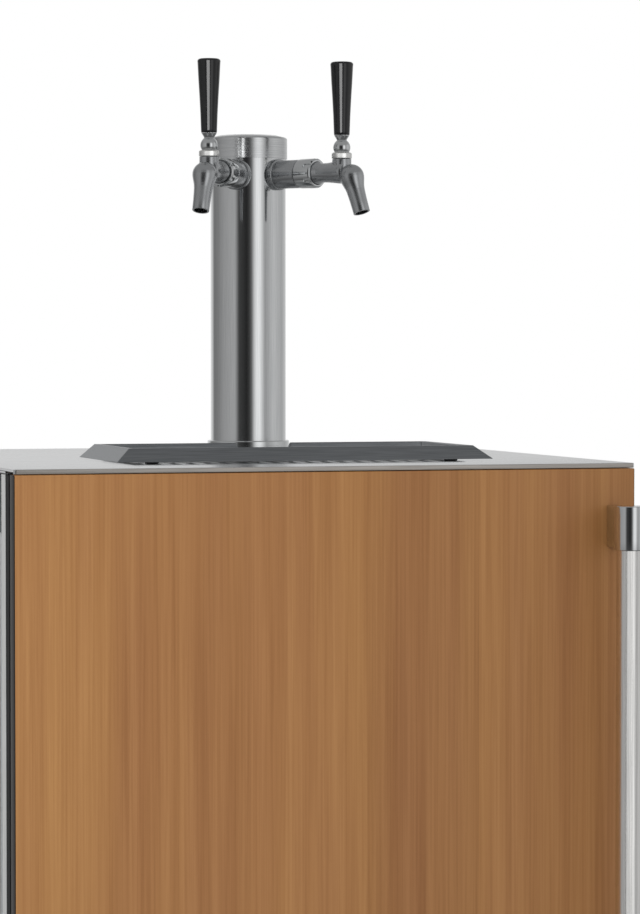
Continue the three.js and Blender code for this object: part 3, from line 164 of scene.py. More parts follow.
def add_piece(name, shape, material, body, slot, *nodes, sharp=35.0):
    """Turns a mesh in millimetres into a finished piece that stands for those CAD nodes."""
    bmesh.ops.remove_doubles(shape, verts=shape.verts, dist=0.001)
    bmesh.ops.scale(shape, vec=(METRES, METRES, METRES), verts=shape.verts)
    mesh = bpy.data.meshes.new(name)
    shape.to_mesh(mesh)
    shape.free()
    mesh.polygons.foreach_set("use_smooth", [True] * len(mesh.polygons))
    mesh.set_sharp_from_angle(angle=math.radians(sharp))
    mesh.materials.append(material)
    piece = bpy.data.objects.new(name, mesh)
    bpy.context.collection.objects.link(piece)
    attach(piece, body)
    if nodes:
        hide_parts(*nodes)
    return piece


COUNTER = 864.0
HALF_WIDTH = 303.0
BACK = 328.0
WOOD_FRONT = -268.0
TOWER_Y = 27.0
TOP_SHEET = 2.5
FRONT_EDGE = 4.6
FOLD = 3.0
CORNER = 2.5
RIM = 0.6
LINE_HOLE = 30.0
CUT_DEPTH = 20.0
OVERRUN = 5.0
FACES_FRONT = -0.9

top_steel = brushed_steel("brushed_stainless_across", "e4e5e5", "d6d7d8", 0.24, (60, 1, 1))
top = block((-HALF_WIDTH, WOOD_FRONT, COUNTER - FRONT_EDGE), (HALF_WIDTH, BACK, COUNTER))
upright = [e for e in top.edges if abs(e.verts[0].co.z - e.verts[1].co.z) > 1]
bmesh.ops.bevel(top, geom=upright, offset=CORNER, segments=5, affect="EDGES", profile=0.5, material=-1)
rims = [e for e in top.edges if abs(e.verts[0].co.z - e.verts[1].co.z) < 0.01]
bmesh.ops.bevel(top, geom=rims, offset=RIM, segments=3, affect="EDGES", profile=0.5, material=-1)
under = block(
    (-HALF_WIDTH - OVERRUN, WOOD_FRONT + FOLD, COUNTER - CUT_DEPTH),
    (HALF_WIDTH + OVERRUN, BACK + OVERRUN, COUNTER - TOP_SHEET),
)
hole = bmesh.new()
bmesh.ops.create_cone(
    hole, cap_ends=True, segments=64, radius1=LINE_HOLE, radius2=LINE_HOLE, depth=CUT_DEPTH,
    matrix=Matrix.Translation((0, TOWER_Y, COUNTER)),
)
# The folded front edge is the same steel, drawn darker and warmer: painted shade, with the wood's warm
# reflection painted in.
front_edge_shaded_steel = brushed_steel("front_edge_painted_shade", "bfbab4", "b0aba5", 0.34, (60, 1, 1))
sheet = add_piece(
    "top_sheet", combined(combined(top, under), hole), top_steel,
    "cabinet", "brushed_stainless", "top_panel",
)
# Faces that look forward take the darker copy, which is painted shade on the front edge.
sheet.data.materials.append(front_edge_shaded_steel)
for face in sheet.data.polygons:
    face.material_index = int(face.normal.y < FACES_FRONT)


# The cabinet's outer steel: two bent side panels and a ventilated back panel, with the base pan
# that carries the machine and the black toe grille in front of it. Each is folded or stamped
# from sheet, so the CAD solid is copied and its cut edges are eased.
def eased_copy(name, node, width, material, body, slot, segments=2):
    """A piece with the CAD node's own form, its flat faces cleaned and its edges rounded."""
    shape = bmesh.new()
    shape.from_mesh(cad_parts[node].data)
    bmesh.ops.scale(shape, vec=(1 / METRES,) * 3, verts=shape.verts)
    bmesh.ops.remove_doubles(shape, verts=shape.verts, dist=0.002)
    bmesh.ops.dissolve_limit(
        shape, angle_limit=math.radians(0.5), use_dissolve_boundaries=False,
        verts=shape.verts, edges=shape.edges, delimit={"NORMAL"},
    )
    piece = add_piece(name, shape, material, body, slot, node)
    rounding = piece.modifiers.new("eased", "BEVEL")
    rounding.width = width * METRES
    rounding.segments = segments
    rounding.limit_method = "ANGLE"
    rounding.angle_limit = math.radians(40)
    return piece


side_steel = brushed_steel("brushed_side_steel", "d2d3d2", "c4c5c4", 0.36, (1, 1, 60), metallic=0.65)


def plated_steel(name):
    """Zinc-plated sheet: a dull grey with faint crystals about 12 mm wide."""
    material, shader = new_material(name, {"Metallic": 0.6})
    tree = material.node_tree
    place = add_node(tree, "TexCoord")
    inputs = {"Vector": place.outputs["Object"], "Scale": 1 / (12 * METRES)}
    crystals = add_node(tree, "TexVoronoi", {}, inputs).outputs["Distance"]
    tree.links.new(mixed_colours(tree, crystals, "a7abad", "969a9c", 0.1, 0.9), shader.inputs["Base Color"])
    tree.links.new(ranged(tree, crystals, 0.42, 0.58), shader.inputs["Roughness"])
    return material


def enamelled(name, colour, dark, gloss):
    """Baked enamel or powder coat, with a fine orange-peel surface about 1.5 mm across."""
    material, shader = new_material(name, {"Coat Weight": 0.15})
    tree = material.node_tree
    peel = stretched_noise(tree, 1.5, (1, 1, 1))
    tree.links.new(mixed_colours(tree, peel, dark, colour), shader.inputs["Base Color"])
    tree.links.new(ranged(tree, peel, gloss, gloss + 0.1), shader.inputs["Roughness"])
    add_bump(tree, shader, peel, 0.03)
    return material


zinc = plated_steel("zinc_plated_steel")
black_enamel = enamelled("black_baked_enamel", "202124", "18191b", 0.38)
for side in ("left", "right"):
    eased_copy(f"cabinet_side_{side}", f"side_panel_{side}", 0.35, side_steel, "cabinet", "side_steel")
eased_copy("rear_panel", "back_panel", 0.3, zinc, "cabinet", "galvanised_steel")
eased_copy("bottom_pan", "base_pan", 0.4, zinc, "cabinet", "galvanised_steel")
eased_copy("toe_grille_plate", "toe_grille", 0.35, black_enamel, "cabinet", "black_enamel")


# The refrigerated inside: a folded stainless liner with a step over the machine bay, foamed in
# place. The foam is a rigid yellow block that only shows where a panel is taken off.
liner_steel = brushed_steel(
    "liner_stainless", "d8dadb", "cdcfd0", 0.42, (1, 1, 60), spacing=1.2, metallic=0.5,
)
eased_copy("chamber_liner", "cabinet_liner", 0.5, liner_steel, "cabinet", "liner_stainless")


def rigid_foam(name):
    """Polyurethane foam: pale yellow, matt, with cells drawn 2 mm wide so that they show."""
    material, shader = new_material(name, {"Roughness": 0.9})
    tree = material.node_tree
    cells = stretched_noise(tree, 2.0, (1, 1, 1))
    tree.links.new(mixed_colours(tree, cells, "c8b67c", "dccd96"), shader.inputs["Base Color"])
    add_bump(tree, shader, cells, 0.3)
    return material


foam = rigid_foam("polyurethane_foam")


def dress_node(node, material):
    """Gives a CAD node that keeps its own form its finish."""
    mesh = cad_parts[node].data
    mesh.materials.clear()
    mesh.materials.append(material)


dress_node("cabinet_insulation", foam)
dress_node("door_insulation", foam)


# Four leveling legs screw into the base pan. Each is zinc-plated steel, turned in one piece: a
# round foot, a collar to turn it by and a threaded stem.
def turned(profile, place=(0, 0, 0), direction=(0, 0, 1), steps=64, edge=0.0):
    """A solid of revolution from [radius, height] points. Its closed corners get a radius."""
    shape = bmesh.new()
    points = [shape.verts.new((radius, 0, height)) for radius, height in profile]
    ends = zip(points, points[1:])
    if profile[0] == profile[-1]:
        shape.verts.remove(points.pop())
        ends = zip(points, points[1:] + points[:1])
    for first, second in list(ends):
        shape.edges.new((first, second))
    if edge:
        inner = [v for v in shape.verts if len(v.link_edges) == 2 and v.co.x > 0.001]
        bmesh.ops.bevel(
            shape, geom=inner, offset=edge, segments=3, affect="VERTICES", profile=0.5,
            clamp_overlap=True, material=-1,
        )
    bmesh.ops.spin(
        shape, geom=shape.verts[:] + shape.edges[:], axis=(0, 0, 1), cent=(0, 0, 0),
        angle=2 * math.pi, steps=steps, use_merge=True,
    )
    bmesh.ops.remove_doubles(shape, verts=shape.verts, dist=0.0005)
    flat = [f for f in shape.faces if f.calc_area() < 1e-7]
    bmesh.ops.delete(shape, geom=flat, context="FACES")
    bmesh.ops.recalc_face_normals(shape, faces=shape.faces)
    turn = Vector((0, 0, 1)).rotation_difference(Vector(direction)).to_matrix().to_4x4()
    bmesh.ops.transform(shape, matrix=Matrix.Translation(place) @ turn, verts=shape.verts)
    return shape


def arc(centre_radius, centre_height, radius, start, end, count=8):
    """Points of an arc for a turned profile, between two angles in degrees."""
    angles = [math.radians(start + (end - start) * i / count) for i in range(count + 1)]
    return [(centre_radius + radius * math.cos(a), centre_height + radius * math.sin(a)) for a in angles]


def rod(radius, start, end, steps=48, edge=0.0):
    """A round bar between two points."""
    run = Vector(end) - Vector(start)
    profile = [(0, 0), (radius, 0), (radius, run.length), (0, run.length)]
    return turned(profile, start, run.normalized(), steps, edge)


def four_places(side, front, rear):
    """The names and places of four feet, as far to the left as to the right."""
    return (
        ("front_left", -side, front), ("front_right", side, front),
        ("rear_left", -side, rear), ("rear_right", side, rear),
    )


LEG_SIDE = 262.0
LEG_FRONT = -110.0
LEG_REAR = 292.0
LEG_STEM = 5.0
LEG_TOP = 75
THREAD_LOW = 20
THREAD_DEPTH = 0.6
for place, x, y in four_places(LEG_SIDE, LEG_FRONT, LEG_REAR):
    thread = [
        (LEG_STEM - THREAD_DEPTH * (step % 2), THREAD_LOW + step) for step in range(LEG_TOP - THREAD_LOW)
    ]
    profile = [(0, 0), (18.5, 0), (20, 1.5), (20, 5.5), (18.5, 7), (12, 8.5), (11, 10), (11, 19.7)]
    profile += thread + [(LEG_STEM - 1, LEG_TOP), (0, LEG_TOP)]
    add_piece(
        f"screw_leg_{place}", turned(profile, (x, y, 0), steps=32), zinc, f"leg_{place}",
        "galvanised_steel", f"leveling_leg_{place}",
    )


# The cooling machine in the bay: a welded black compressor pot on rubber feet, a finned
# condenser with its fan motor on two arms, and the fan wheel. A second small wheel blows over
# the evaporator behind a white cover inside the cabinet.
def moulded(name, colour, dark, gloss):
    """Injection-moulded plastic with a fine spark-eroded texture, drawn 0.8 mm wide."""
    material, shader = new_material(name, {"IOR": 1.5})
    tree = material.node_tree
    grain = stretched_noise(tree, 0.8, (1, 1, 1))
    tree.links.new(mixed_colours(tree, grain, dark, colour), shader.inputs["Base Color"])
    tree.links.new(ranged(tree, grain, gloss, gloss + 0.1), shader.inputs["Roughness"])
    add_bump(tree, shader, grain, 0.02)
    return material


black_moulded = moulded("black_moulded_nylon", "1c1d20", "141517", 0.45)
white_moulded = moulded("white_moulded_abs", "e6e7e4", "dcddda", 0.38)
fin_aluminium = brushed_steel("rolled_aluminium", "c3c6c8", "adb0b2", 0.36, (1, 1, 30))
POT_X = -151.5
POT_Y = 230.0
BAY_FLOOR = 22.3
GROMMET = 16.0
POT_LOW = BAY_FLOOR + GROMMET
POT_HEIGHT = 165.0
POT_TOP = POT_LOW + POT_HEIGHT
POT_MIDDLE = (POT_LOW + POT_TOP) / 2
POT_RADIUS = 72.0
POT_BEND = 38.0
PLATE_X = 95.0
PLATE_Y = 60.0
GROMMET_X = 77.0
GROMMET_Y = 42.0
TERMINAL = 21.0
STUB = 22.0
flat_end = POT_RADIUS - POT_BEND
pot = turned(
    [(0, POT_LOW)] + arc(flat_end, POT_LOW + POT_BEND, POT_BEND, -90, 0, 14)
    + [(POT_RADIUS, POT_MIDDLE - 3), (POT_RADIUS + 1, POT_MIDDLE - 1.5),
       (POT_RADIUS + 1, POT_MIDDLE + 1.5), (POT_RADIUS, POT_MIDDLE + 3)]
    + arc(flat_end, POT_TOP - POT_BEND, POT_BEND, 0, 90, 14) + [(0, POT_TOP)],
    (POT_X, POT_Y, 0), steps=96,
)
mounting = block(
    (POT_X - PLATE_X, POT_Y - PLATE_Y, BAY_FLOOR + 12), (POT_X + PLATE_X, POT_Y + PLATE_Y, BAY_FLOOR + 20),
    1.0,
)
grommets = [
    rod(12, (POT_X + x, POT_Y + y, BAY_FLOOR), (POT_X + x, POT_Y + y, POT_LOW), 32, 1.5)
    for x in (-GROMMET_X, GROMMET_X) for y in (-GROMMET_Y, GROMMET_Y)
]
terminal_box = block(
    (POT_X + POT_RADIUS - TERMINAL, POT_Y - TERMINAL, POT_MIDDLE - TERMINAL),
    (POT_X + POT_RADIUS + TERMINAL, POT_Y + TERMINAL, POT_MIDDLE + TERMINAL), 2.5,
)
stub = rod(5, (POT_X, POT_Y, POT_TOP - STUB), (POT_X, POT_Y, POT_TOP + STUB), 32, 0.5)
add_piece(
    "compressor_pot", joined(pot, mounting, *grommets, terminal_box, stub), black_enamel,
    "cabinet", "black_enamel", "compressor",
)
eased_copy("condenser_coil", "condenser", 0.2, fin_aluminium, "cabinet", "aluminium", segments=1)
eased_copy(
    "condenser_wheel_blades", "condenser_fan", 0.4, black_moulded, "condenser_wheel", "black_moulded",
)
eased_copy("evaporator_cover", "evaporator_housing", 1.2, white_moulded, "cabinet", "white_moulded")
eased_copy(
    "evaporator_wheel_blades", "evaporator_fan", 0.4, black_moulded, "evaporator_wheel", "black_moulded",
)


# The door: a steel pan filled with foam, black round its front edge behind the wood, partly as a
# dark edge and partly as painted shade, with an inner stainless liner and a magnetic gasket pushed into a
# groove.
BAND_BACK = -229.0


def soft_rubber(name, colour, dark):
    """Extruded or moulded rubber, matt, with a faint bloom in patches 3 mm wide."""
    material, shader = new_material(name, {"IOR": 1.5})
    tree = material.node_tree
    bloom = stretched_noise(tree, 3.0, (1, 1, 1))
    tree.links.new(mixed_colours(tree, bloom, dark, colour), shader.inputs["Base Color"])
    tree.links.new(ranged(tree, bloom, 0.7, 0.85), shader.inputs["Roughness"])
    return material


gasket_rubber = soft_rubber("grey_gasket_rubber", "babcbd", "aaacad")
foot_rubber = soft_rubber("black_foot_rubber", "1d1d1e", "151516")
pan = eased_copy("door_pan", "door_shell", 0.5, side_steel, "door", "side_steel")
# The pan's front band behind the wood takes black rubber: partly a dark edge, partly painted shade.
pan.data.materials.append(foot_rubber)
banded = bmesh.new()
banded.from_mesh(pan.data)
bmesh.ops.bisect_plane(
    banded, geom=banded.verts[:] + banded.edges[:] + banded.faces[:], dist=1e-6,
    plane_co=(0, BAND_BACK * METRES, 0), plane_no=(0, 1, 0),
)
for face in banded.faces:
    face.material_index = int(face.calc_center_median().y < BAND_BACK * METRES)
banded.to_mesh(pan.data)
banded.free()
eased_copy("door_inner_liner", "door_liner", 1.0, liner_steel, "door", "liner_stainless")
eased_copy("magnetic_gasket", "door_gasket", 1.6, gasket_rubber, "door", "grey_gasket", segments=3)


# The wood panel is board faced with straight-grained veneer, its leaves laid side by side, oiled
# to a satin sheen. Its edges are near black: a dark lipping with painted shade in it. It is cut to the size
# of the door.
def blended(tree, share, first, second, kind="MIX"):
    """The first colour with the second laid over it, as far as the share says."""
    mix = add_node(tree, "Mix", {"data_type": "RGBA", "blend_type": kind})
    for socket, value in zip((mix.inputs[0], mix.inputs[6], mix.inputs[7]), (share, first, second)):
        if isinstance(value, bpy.types.NodeSocket):
            tree.links.new(value, socket)
        else:
            socket.default_value = value
    return mix.outputs[2]


LEAF = 112.0
LEAF_START = 0.705
LIPPING_AND_SHADE = 0.7


def veneer(name):
    """Grain runs up the panel: leaves 112 mm wide that differ a little, with painted shade that
    darkens the panel towards the right, bands of 55 mm, soft streaks of 8 mm and lines of 2 mm."""
    material, shader = new_material(name, {"Roughness": 0.5, "Specular IOR Level": 0.35})
    tree = material.node_tree
    place = add_node(tree, "TexCoord")
    across = add_node(tree, "SeparateXYZ", {}, {"Vector": place.outputs["Object"]}).outputs["X"]
    leaf_place = add_node(
        tree, "Math", {"operation": "MULTIPLY_ADD"}, {0: across, 1: 1 / (LEAF * METRES), 2: LEAF_START},
    )
    leaf = add_node(tree, "Math", {"operation": "FLOOR"}, {0: leaf_place.outputs[0]})
    chance = add_node(tree, "TexWhiteNoise", {"noise_dimensions": "1D"}, {"W": leaf.outputs[0]})
    own = ranged(tree, chance.outputs["Value"], 0.3, 0.7)
    # Each leaf's own tone, less a painted shade that darkens the panel steadily towards the right.
    leaf_tone_and_painted_shade = add_node(tree, "Math", {"operation": "MULTIPLY_ADD"}, {0: across, 1: -1.0, 2: own}).outputs[0]
    bands = stretched_noise(tree, 55, (1, 1, 16), detail=2.0, seed=3.0)
    streaks = stretched_noise(tree, 8, (1, 1, 70), detail=3.0, seed=7.0)
    lines = stretched_noise(tree, 2.0, (1, 1, 90), detail=2.0, seed=1.0)
    colour = mixed_colours(tree, bands, "a5764a", "b0824f", 0.3, 0.7)
    for share, shade, low, high in (
        (leaf_tone_and_painted_shade, "dbd3ce", 0.0, 1.0), (streaks, "eae2d9", 0.3, 0.7), (lines, "f3efeb", 0.35, 0.6),
    ):
        shading = mixed_colours(tree, share, shade, "ffffff", low, high)
        colour = blended(tree, 1.0, colour, shading, "MULTIPLY")
    # The side edges are near black: a dark lipping, with the shade beside the wood painted into it.
    from_middle = add_node(tree, "Math", {"operation": "ABSOLUTE"}, {0: across})
    at_edge = add_node(
        tree, "Math", {"operation": "GREATER_THAN"},
        {0: from_middle.outputs[0], 1: (HALF_WIDTH - LIPPING_AND_SHADE) * METRES},
    )
    lipping_and_painted_shade = blended(tree, at_edge.outputs[0], colour, linear("1a130e"))
    tree.links.new(lipping_and_painted_shade, shader.inputs["Base Color"])
    add_bump(tree, shader, lines, 0.03)
    return material


WOOD_BACK = -249.3
DOOR_LOW = 108.0
DOOR_TOP = 858.8
add_piece(
    "wood_front",
    block((-HALF_WIDTH, WOOD_FRONT, DOOR_LOW), (HALF_WIDTH, WOOD_BACK, DOOR_TOP), 0.8),
    veneer("oiled_wood_veneer"), "door", "wood_veneer", "wood_panel",
)


# Two hinge plates are bent from stainless and screwed to the cabinet's front edge. A pin on
# each enters the door's top or bottom, out of sight behind the wood.
hinge_steel = brushed_steel("hinge_stainless", "cdcecf", "b7b8b9", 0.22, (40, 1, 1))
for place in ("top", "bottom"):
    eased_copy(f"hinge_plate_{place}", f"hinge_{place}", 0.5, hinge_steel, "cabinet", "brushed_stainless")


# The pull handle is a brushed stainless tube, one inch thick, held at each end in a polished
# collar with a flat stem that is bolted through the wood.
HANDLE_X = 280.0
HANDLE_Y = -313.0
HANDLE_LOW = 140.0
HANDLE_TOP = 825.0
BRACKET = 42.0
INSERT = 12.0
BAR_RADIUS = 12.7
COLLAR_RADIUS = 15.0
STEM = 6.0

# The clearance between pieces that fit together
FIT = 0.3


def polished_metal(name, colour, gloss):
    """Plated or turned metal, smooth, with faint cloudy wear 6 mm wide in its shine."""
    material, shader = new_material(name, {"Metallic": 1.0, "Base Color": linear(colour)})
    tree = material.node_tree
    wear = stretched_noise(tree, 6.0, (1, 1, 1))
    tree.links.new(ranged(tree, wear, gloss, gloss + 0.05), shader.inputs["Roughness"])
    return material


chrome = polished_metal("chrome_plate", "d9dbdc", 0.07)
bar_steel = brushed_steel("brushed_handle_tube", "efeeec", "e2e1df", 0.2, (1, 1, 50), spacing=1.2)
bar_ends = HANDLE_LOW + BRACKET - INSERT, HANDLE_TOP - BRACKET + INSERT
add_piece(
    "pull_tube", rod(BAR_RADIUS, (HANDLE_X, HANDLE_Y, bar_ends[0]), (HANDLE_X, HANDLE_Y, bar_ends[1]), 72),
    bar_steel, "door", "handle_steel", "handle_bar",
)
for place, low, bore_low in (("top", HANDLE_TOP - BRACKET, -1), ("bottom", HANDLE_LOW, BRACKET - INSERT)):
    collar = rod(COLLAR_RADIUS, (HANDLE_X, HANDLE_Y, low), (HANDLE_X, HANDLE_Y, low + BRACKET), 72, 0.8)
    stem = block(
        (HANDLE_X - STEM, HANDLE_Y, low + 1), (HANDLE_X + STEM, WOOD_FRONT - FIT, low + BRACKET - 1), 0.8,
    )
    bore = rod(
        BAR_RADIUS + FIT, (HANDLE_X, HANDLE_Y, low + bore_low),
        (HANDLE_X, HANDLE_Y, low + bore_low + INSERT + 1.3), 72,
    )
    bracket = combined(combined(collar, stem, "UNION"), bore)
    add_piece(f"handle_collar_{place}", bracket, chrome, "door", "chrome", f"handle_bracket_{place}")


# The drip tray stands on the top on four rubber feet. Its pan is pressed from dark brushed
# steel with walls that lean in, and the slotted grate lifts out. The pan isn't mirrored in the
# top, so the steel in front of it stays light and the feet show.
PAD_SIDE = 150.0
PAD_FRONT = -170.0
PAD_REAR = -80.0
tray_steel = brushed_steel("dark_brushed_tray_steel", "95989b", "828588", 0.34, (50, 1, 1))
for name, node, width, body in (
    ("drip_pan", "tray_pan", 0.9, "cabinet"), ("drip_grate", "tray_grate", 0.35, "grate"),
):
    tray_part = eased_copy(name, node, width, tray_steel, body, "tray_steel", segments=3)
    tray_part.visible_glossy = name == "drip_grate"
for place, x, y in four_places(PAD_SIDE, PAD_FRONT, PAD_REAR):
    foot = turned([(0, FIT), (6, FIT), (7, 2.2), (0, 2.2)], (x, y, COUNTER), steps=32, edge=0.3)
    add_piece(f"tray_pad_{place}", foot, foot_rubber, "cabinet", "black_rubber", f"tray_foot_{place}")


# The tower: a polished three inch stainless tube with a domed cap pushed over it, standing in a
# chromed ring that is screwed through the top.
tower_steel = brushed_steel("satin_polished_tower_tube", "e2e3e4", "d8dadb", 0.05, (1, 1, 60), spacing=0.7)
COLUMN_RADIUS = 38.1
COLUMN_WALL = 1.5
COLUMN_TOP = 1183.5
tube = turned(
    [(COLUMN_RADIUS - COLUMN_WALL, COUNTER + FIT), (COLUMN_RADIUS, COUNTER + FIT),
     (COLUMN_RADIUS, COLUMN_TOP), (COLUMN_RADIUS - COLUMN_WALL, COLUMN_TOP),
     (COLUMN_RADIUS - COLUMN_WALL, COUNTER + FIT)],
    (0, TOWER_Y, 0), steps=128,
)
add_piece("tower_tube", tube, tower_steel, "cabinet", "tower_stainless", "tower_column")
FITTED_BORE = COLUMN_RADIUS + FIT
CAP_RADIUS = 39.7
CAP_LOW = 1165.3
CAP_BEND = 1184.8
cap = turned(
    [(0, COLUMN_TOP + FIT), (FITTED_BORE, COLUMN_TOP + FIT), (FITTED_BORE, CAP_LOW), (CAP_RADIUS, CAP_LOW),
     (CAP_RADIUS, CAP_BEND)]
    + arc(CAP_RADIUS - 2.5, CAP_BEND, 2.5, 0, 70, 6) + [(30, 1189.1), (18, 1189.6), (0, 1189.8)],
    (0, TOWER_Y, 0), steps=128, edge=0.3,
)
cap_steel = brushed_steel("satin_cap_pressing", "dcddde", "d0d2d3", 0.17, (60, 60, 1))
add_piece("tower_cap_pressing", cap, cap_steel, "cabinet", "tower_stainless", "tower_cap")
flange = turned(
    [(FITTED_BORE, FIT), (49.5, FIT), (49.5, 5.0), (48.5, 6.0)] + arc(46.5, 11.0, 5.0, 270, 180, 8)
    + [(41.5, 15.7), (40.7, 16.5), (FITTED_BORE, 16.5), (FITTED_BORE, FIT)],
    (0, TOWER_Y, COUNTER), steps=128, edge=0.3,
)
add_piece("tower_base_ring", flange, chrome, "cabinet", "chrome", "tower_flange")


# Each tap: a shank with its sleeve and collar through the tube and a cast faucet with its spout,
# both in satin nickel, a notched chrome nut between them, a bonnet ring, and the lever with its
# ball that carries the black handle. It is made facing forward, then turned round the tower.
TAP_Z = 284.5
LEVER_REACH = 122.7
SPLAY = math.radians(33.7)
SPOUT_LEAN = math.radians(19.6)
ELBOW_RADIUS = 12.2
BALL_RADIUS = 8.6
FORWARD = (0, -1, 0)
SOCKET_TOP = TAP_Z + 13.3
BONNET_TOP = SOCKET_TOP + 6.0
BALL_Z = BONNET_TOP + 5.0
FERRULE_TOP = BALL_Z + 12.0
STUD_TOP = FERRULE_TOP + 16.0
HANDLE_END = 393.5


def glossy_black(name):
    """Turned and lacquered black plastic: deep, hard gloss with faint dust in it."""
    material, shader = new_material(name, {"Specular IOR Level": 0.6})
    tree = material.node_tree
    dust = stretched_noise(tree, 4.0, (1, 1, 1))
    tree.links.new(mixed_colours(tree, dust, "050506", "09090b"), shader.inputs["Base Color"])
    tree.links.new(ranged(tree, dust, 0.08, 0.14), shader.inputs["Roughness"])
    return material


black_gloss = glossy_black("black_lacquered_handle")


def shank_shape():
    sleeve = [(0, 36.5), (14.2, 36.5), (14.2, 70), (0, 70)]
    collar = [(0, 36.5), (15.6, 36.5), (15.6, 43), (0, 43)]
    core = [(0, 23), (11, 23), (11, 79.5), (0, 79.5)]
    nut = [(0, 28), (13.5, 28), (13.5, 36), (0, 36)]
    parts = [turned(profile, (0, 0, TAP_Z), FORWARD, 64, edge) for profile, edge in (
        (sleeve, 0.8), (collar, 1.2), (core, 0.5),
    )]
    return joined(*parts, turned(nut, (0, 0, TAP_Z), FORWARD, 6))


def nut_shape():
    profile = [(11.6, 70.3), (13.6, 70.3), (14.8, 71.5), (14.8, 90.2), (13.3, 91.7), (11.6, 91.7)]
    shape = turned(profile + profile[:1], (0, 0, TAP_Z), FORWARD, 96, 0.3)
    notches = []
    for i in range(6):
        notch = block((-2, -93, 13.0), (2, -83, 18), 0.4)
        spin = Matrix.Translation((0, 0, TAP_Z)) @ Matrix.Rotation(math.pi * i / 3, 4, "Y")
        bmesh.ops.transform(notch, matrix=spin, verts=notch.verts)
        notches.append(notch)
    return combined(shape, joined(*notches))


def faucet_shape():
    """The casting is one piece: a waisted level body with the lever's socket on top, and a
    rounded elbow that runs down into the tapered spout."""
    body = turned(
        [(0, 79.8), (11.3, 79.8), (11.3, 91.8), (10.9, 93.5), (9.9, 97), (9.6, 101), (9.8, 106),
         (10.4, 112), (11.2, 119), (11.5, 125), (11.2, 127.5), (10, 129.2), (0, 129.2)],
        (0, 0, TAP_Z), FORWARD, 72, 0.2,
    )
    socket = turned(
        [(0, TAP_Z), (9.5, TAP_Z), (9.5, SOCKET_TOP), (0, SOCKET_TOP)],
        (0, -LEVER_REACH, 0), steps=72, edge=0.8,
    )
    elbow = Vector((0, -LEVER_REACH - 12.8, TAP_Z - 4.8))
    run = Vector((0, -math.sin(SPOUT_LEAN), -math.cos(SPOUT_LEAN)))
    taper = [(12.0, 2.5), (11.3, 5.5), (10.4, 8.5), (9.6, 11.5), (9.1, 15), (8.8, 20), (8.5, 27), (8.3, 38)]
    spout = turned(arc(0, 0, ELBOW_RADIUS, -90, 0, 24) + taper + [(0, 38)], elbow, run, 96, 0.2)
    bore = rod(6.6, elbow + run * 40, elbow + run * 24, 48)
    whole = combined(combined(body, socket, "UNION"), spout, "UNION")
    return combined(whole, bore)


def bonnet_shape():
    low = SOCKET_TOP + FIT
    ring = turned(
        [(0, low), (10, low), (10, BONNET_TOP - 1), (9, BONNET_TOP), (0, BONNET_TOP)],
        (0, -LEVER_REACH, 0), steps=72, edge=0.25,
    )
    socket = turned(arc(0, BALL_Z, BALL_RADIUS + FIT, -90, 90, 24), (0, -LEVER_REACH, 0), steps=48)
    return combined(ring, socket)


def lever_shape():
    profile = arc(0, BALL_Z, BALL_RADIUS, -90, 53, 20) + [
        (5.0, BALL_Z + 7.4), (5.4, BALL_Z + 8.4), (7.2, FERRULE_TOP - 0.8), (7.5, FERRULE_TOP - 0.3),
        (7.5, FERRULE_TOP), (4, FERRULE_TOP), (4, STUD_TOP), (0, STUD_TOP),
    ]
    return turned(profile, (0, -LEVER_REACH, 0), steps=64)


def handle_shape():
    low = FERRULE_TOP + FIT
    flare = [(4.3, low), (7.4, low), (7.8, low + 0.6), (8.0, low + 5), (8.5, low + 19), (9.4, low + 36),
             (10.4, low + 52), (11.2, HANDLE_END - 4.5)]
    crown = arc(8.8, HANDLE_END - 2.7, 2.6, 0, 85, 6) + [(5, HANDLE_END - 0.05), (0, HANDLE_END)]
    bore = [(0, STUD_TOP + FIT), (4.3, STUD_TOP + FIT), (4.3, low)]
    return turned(flare + crown + bore, (0, -LEVER_REACH, 0), steps=72)


satin = polished_metal("satin_nickel_plate", "b9bbbd", 0.24)
ring_plate = polished_metal("bright_nickel_plate", "eeeeec", 0.32)
for place, sign in (("left", -1), ("right", 1)):
    outward = Matrix.Translation((0, TOWER_Y, COUNTER)) @ Matrix.Rotation(sign * SPLAY, 4, "Z")
    for piece_name, shape, material, body, slot, node in (
        ("tap_shank", shank_shape(), satin, "cabinet", "chrome", "shank"),
        ("notched_nut", nut_shape(), chrome, "cabinet", "chrome", "coupling_nut"),
        ("faucet", faucet_shape(), satin, "cabinet", "chrome", "faucet_body"),
        ("bonnet_ring", bonnet_shape(), ring_plate, "cabinet", "chrome", "faucet_bonnet"),
        ("lever_ball", lever_shape(), chrome, f"tap_{place}", "chrome", "tap_lever"),
        ("handle_knob", handle_shape(), black_gloss, f"tap_{place}", "black_gloss", "tap_handle"),
    ):
        bmesh.ops.transform(shape, matrix=outward, verts=shape.verts)
        add_piece(f"{piece_name}_{place}", shape, material, body, slot, f"{node}_{place}")


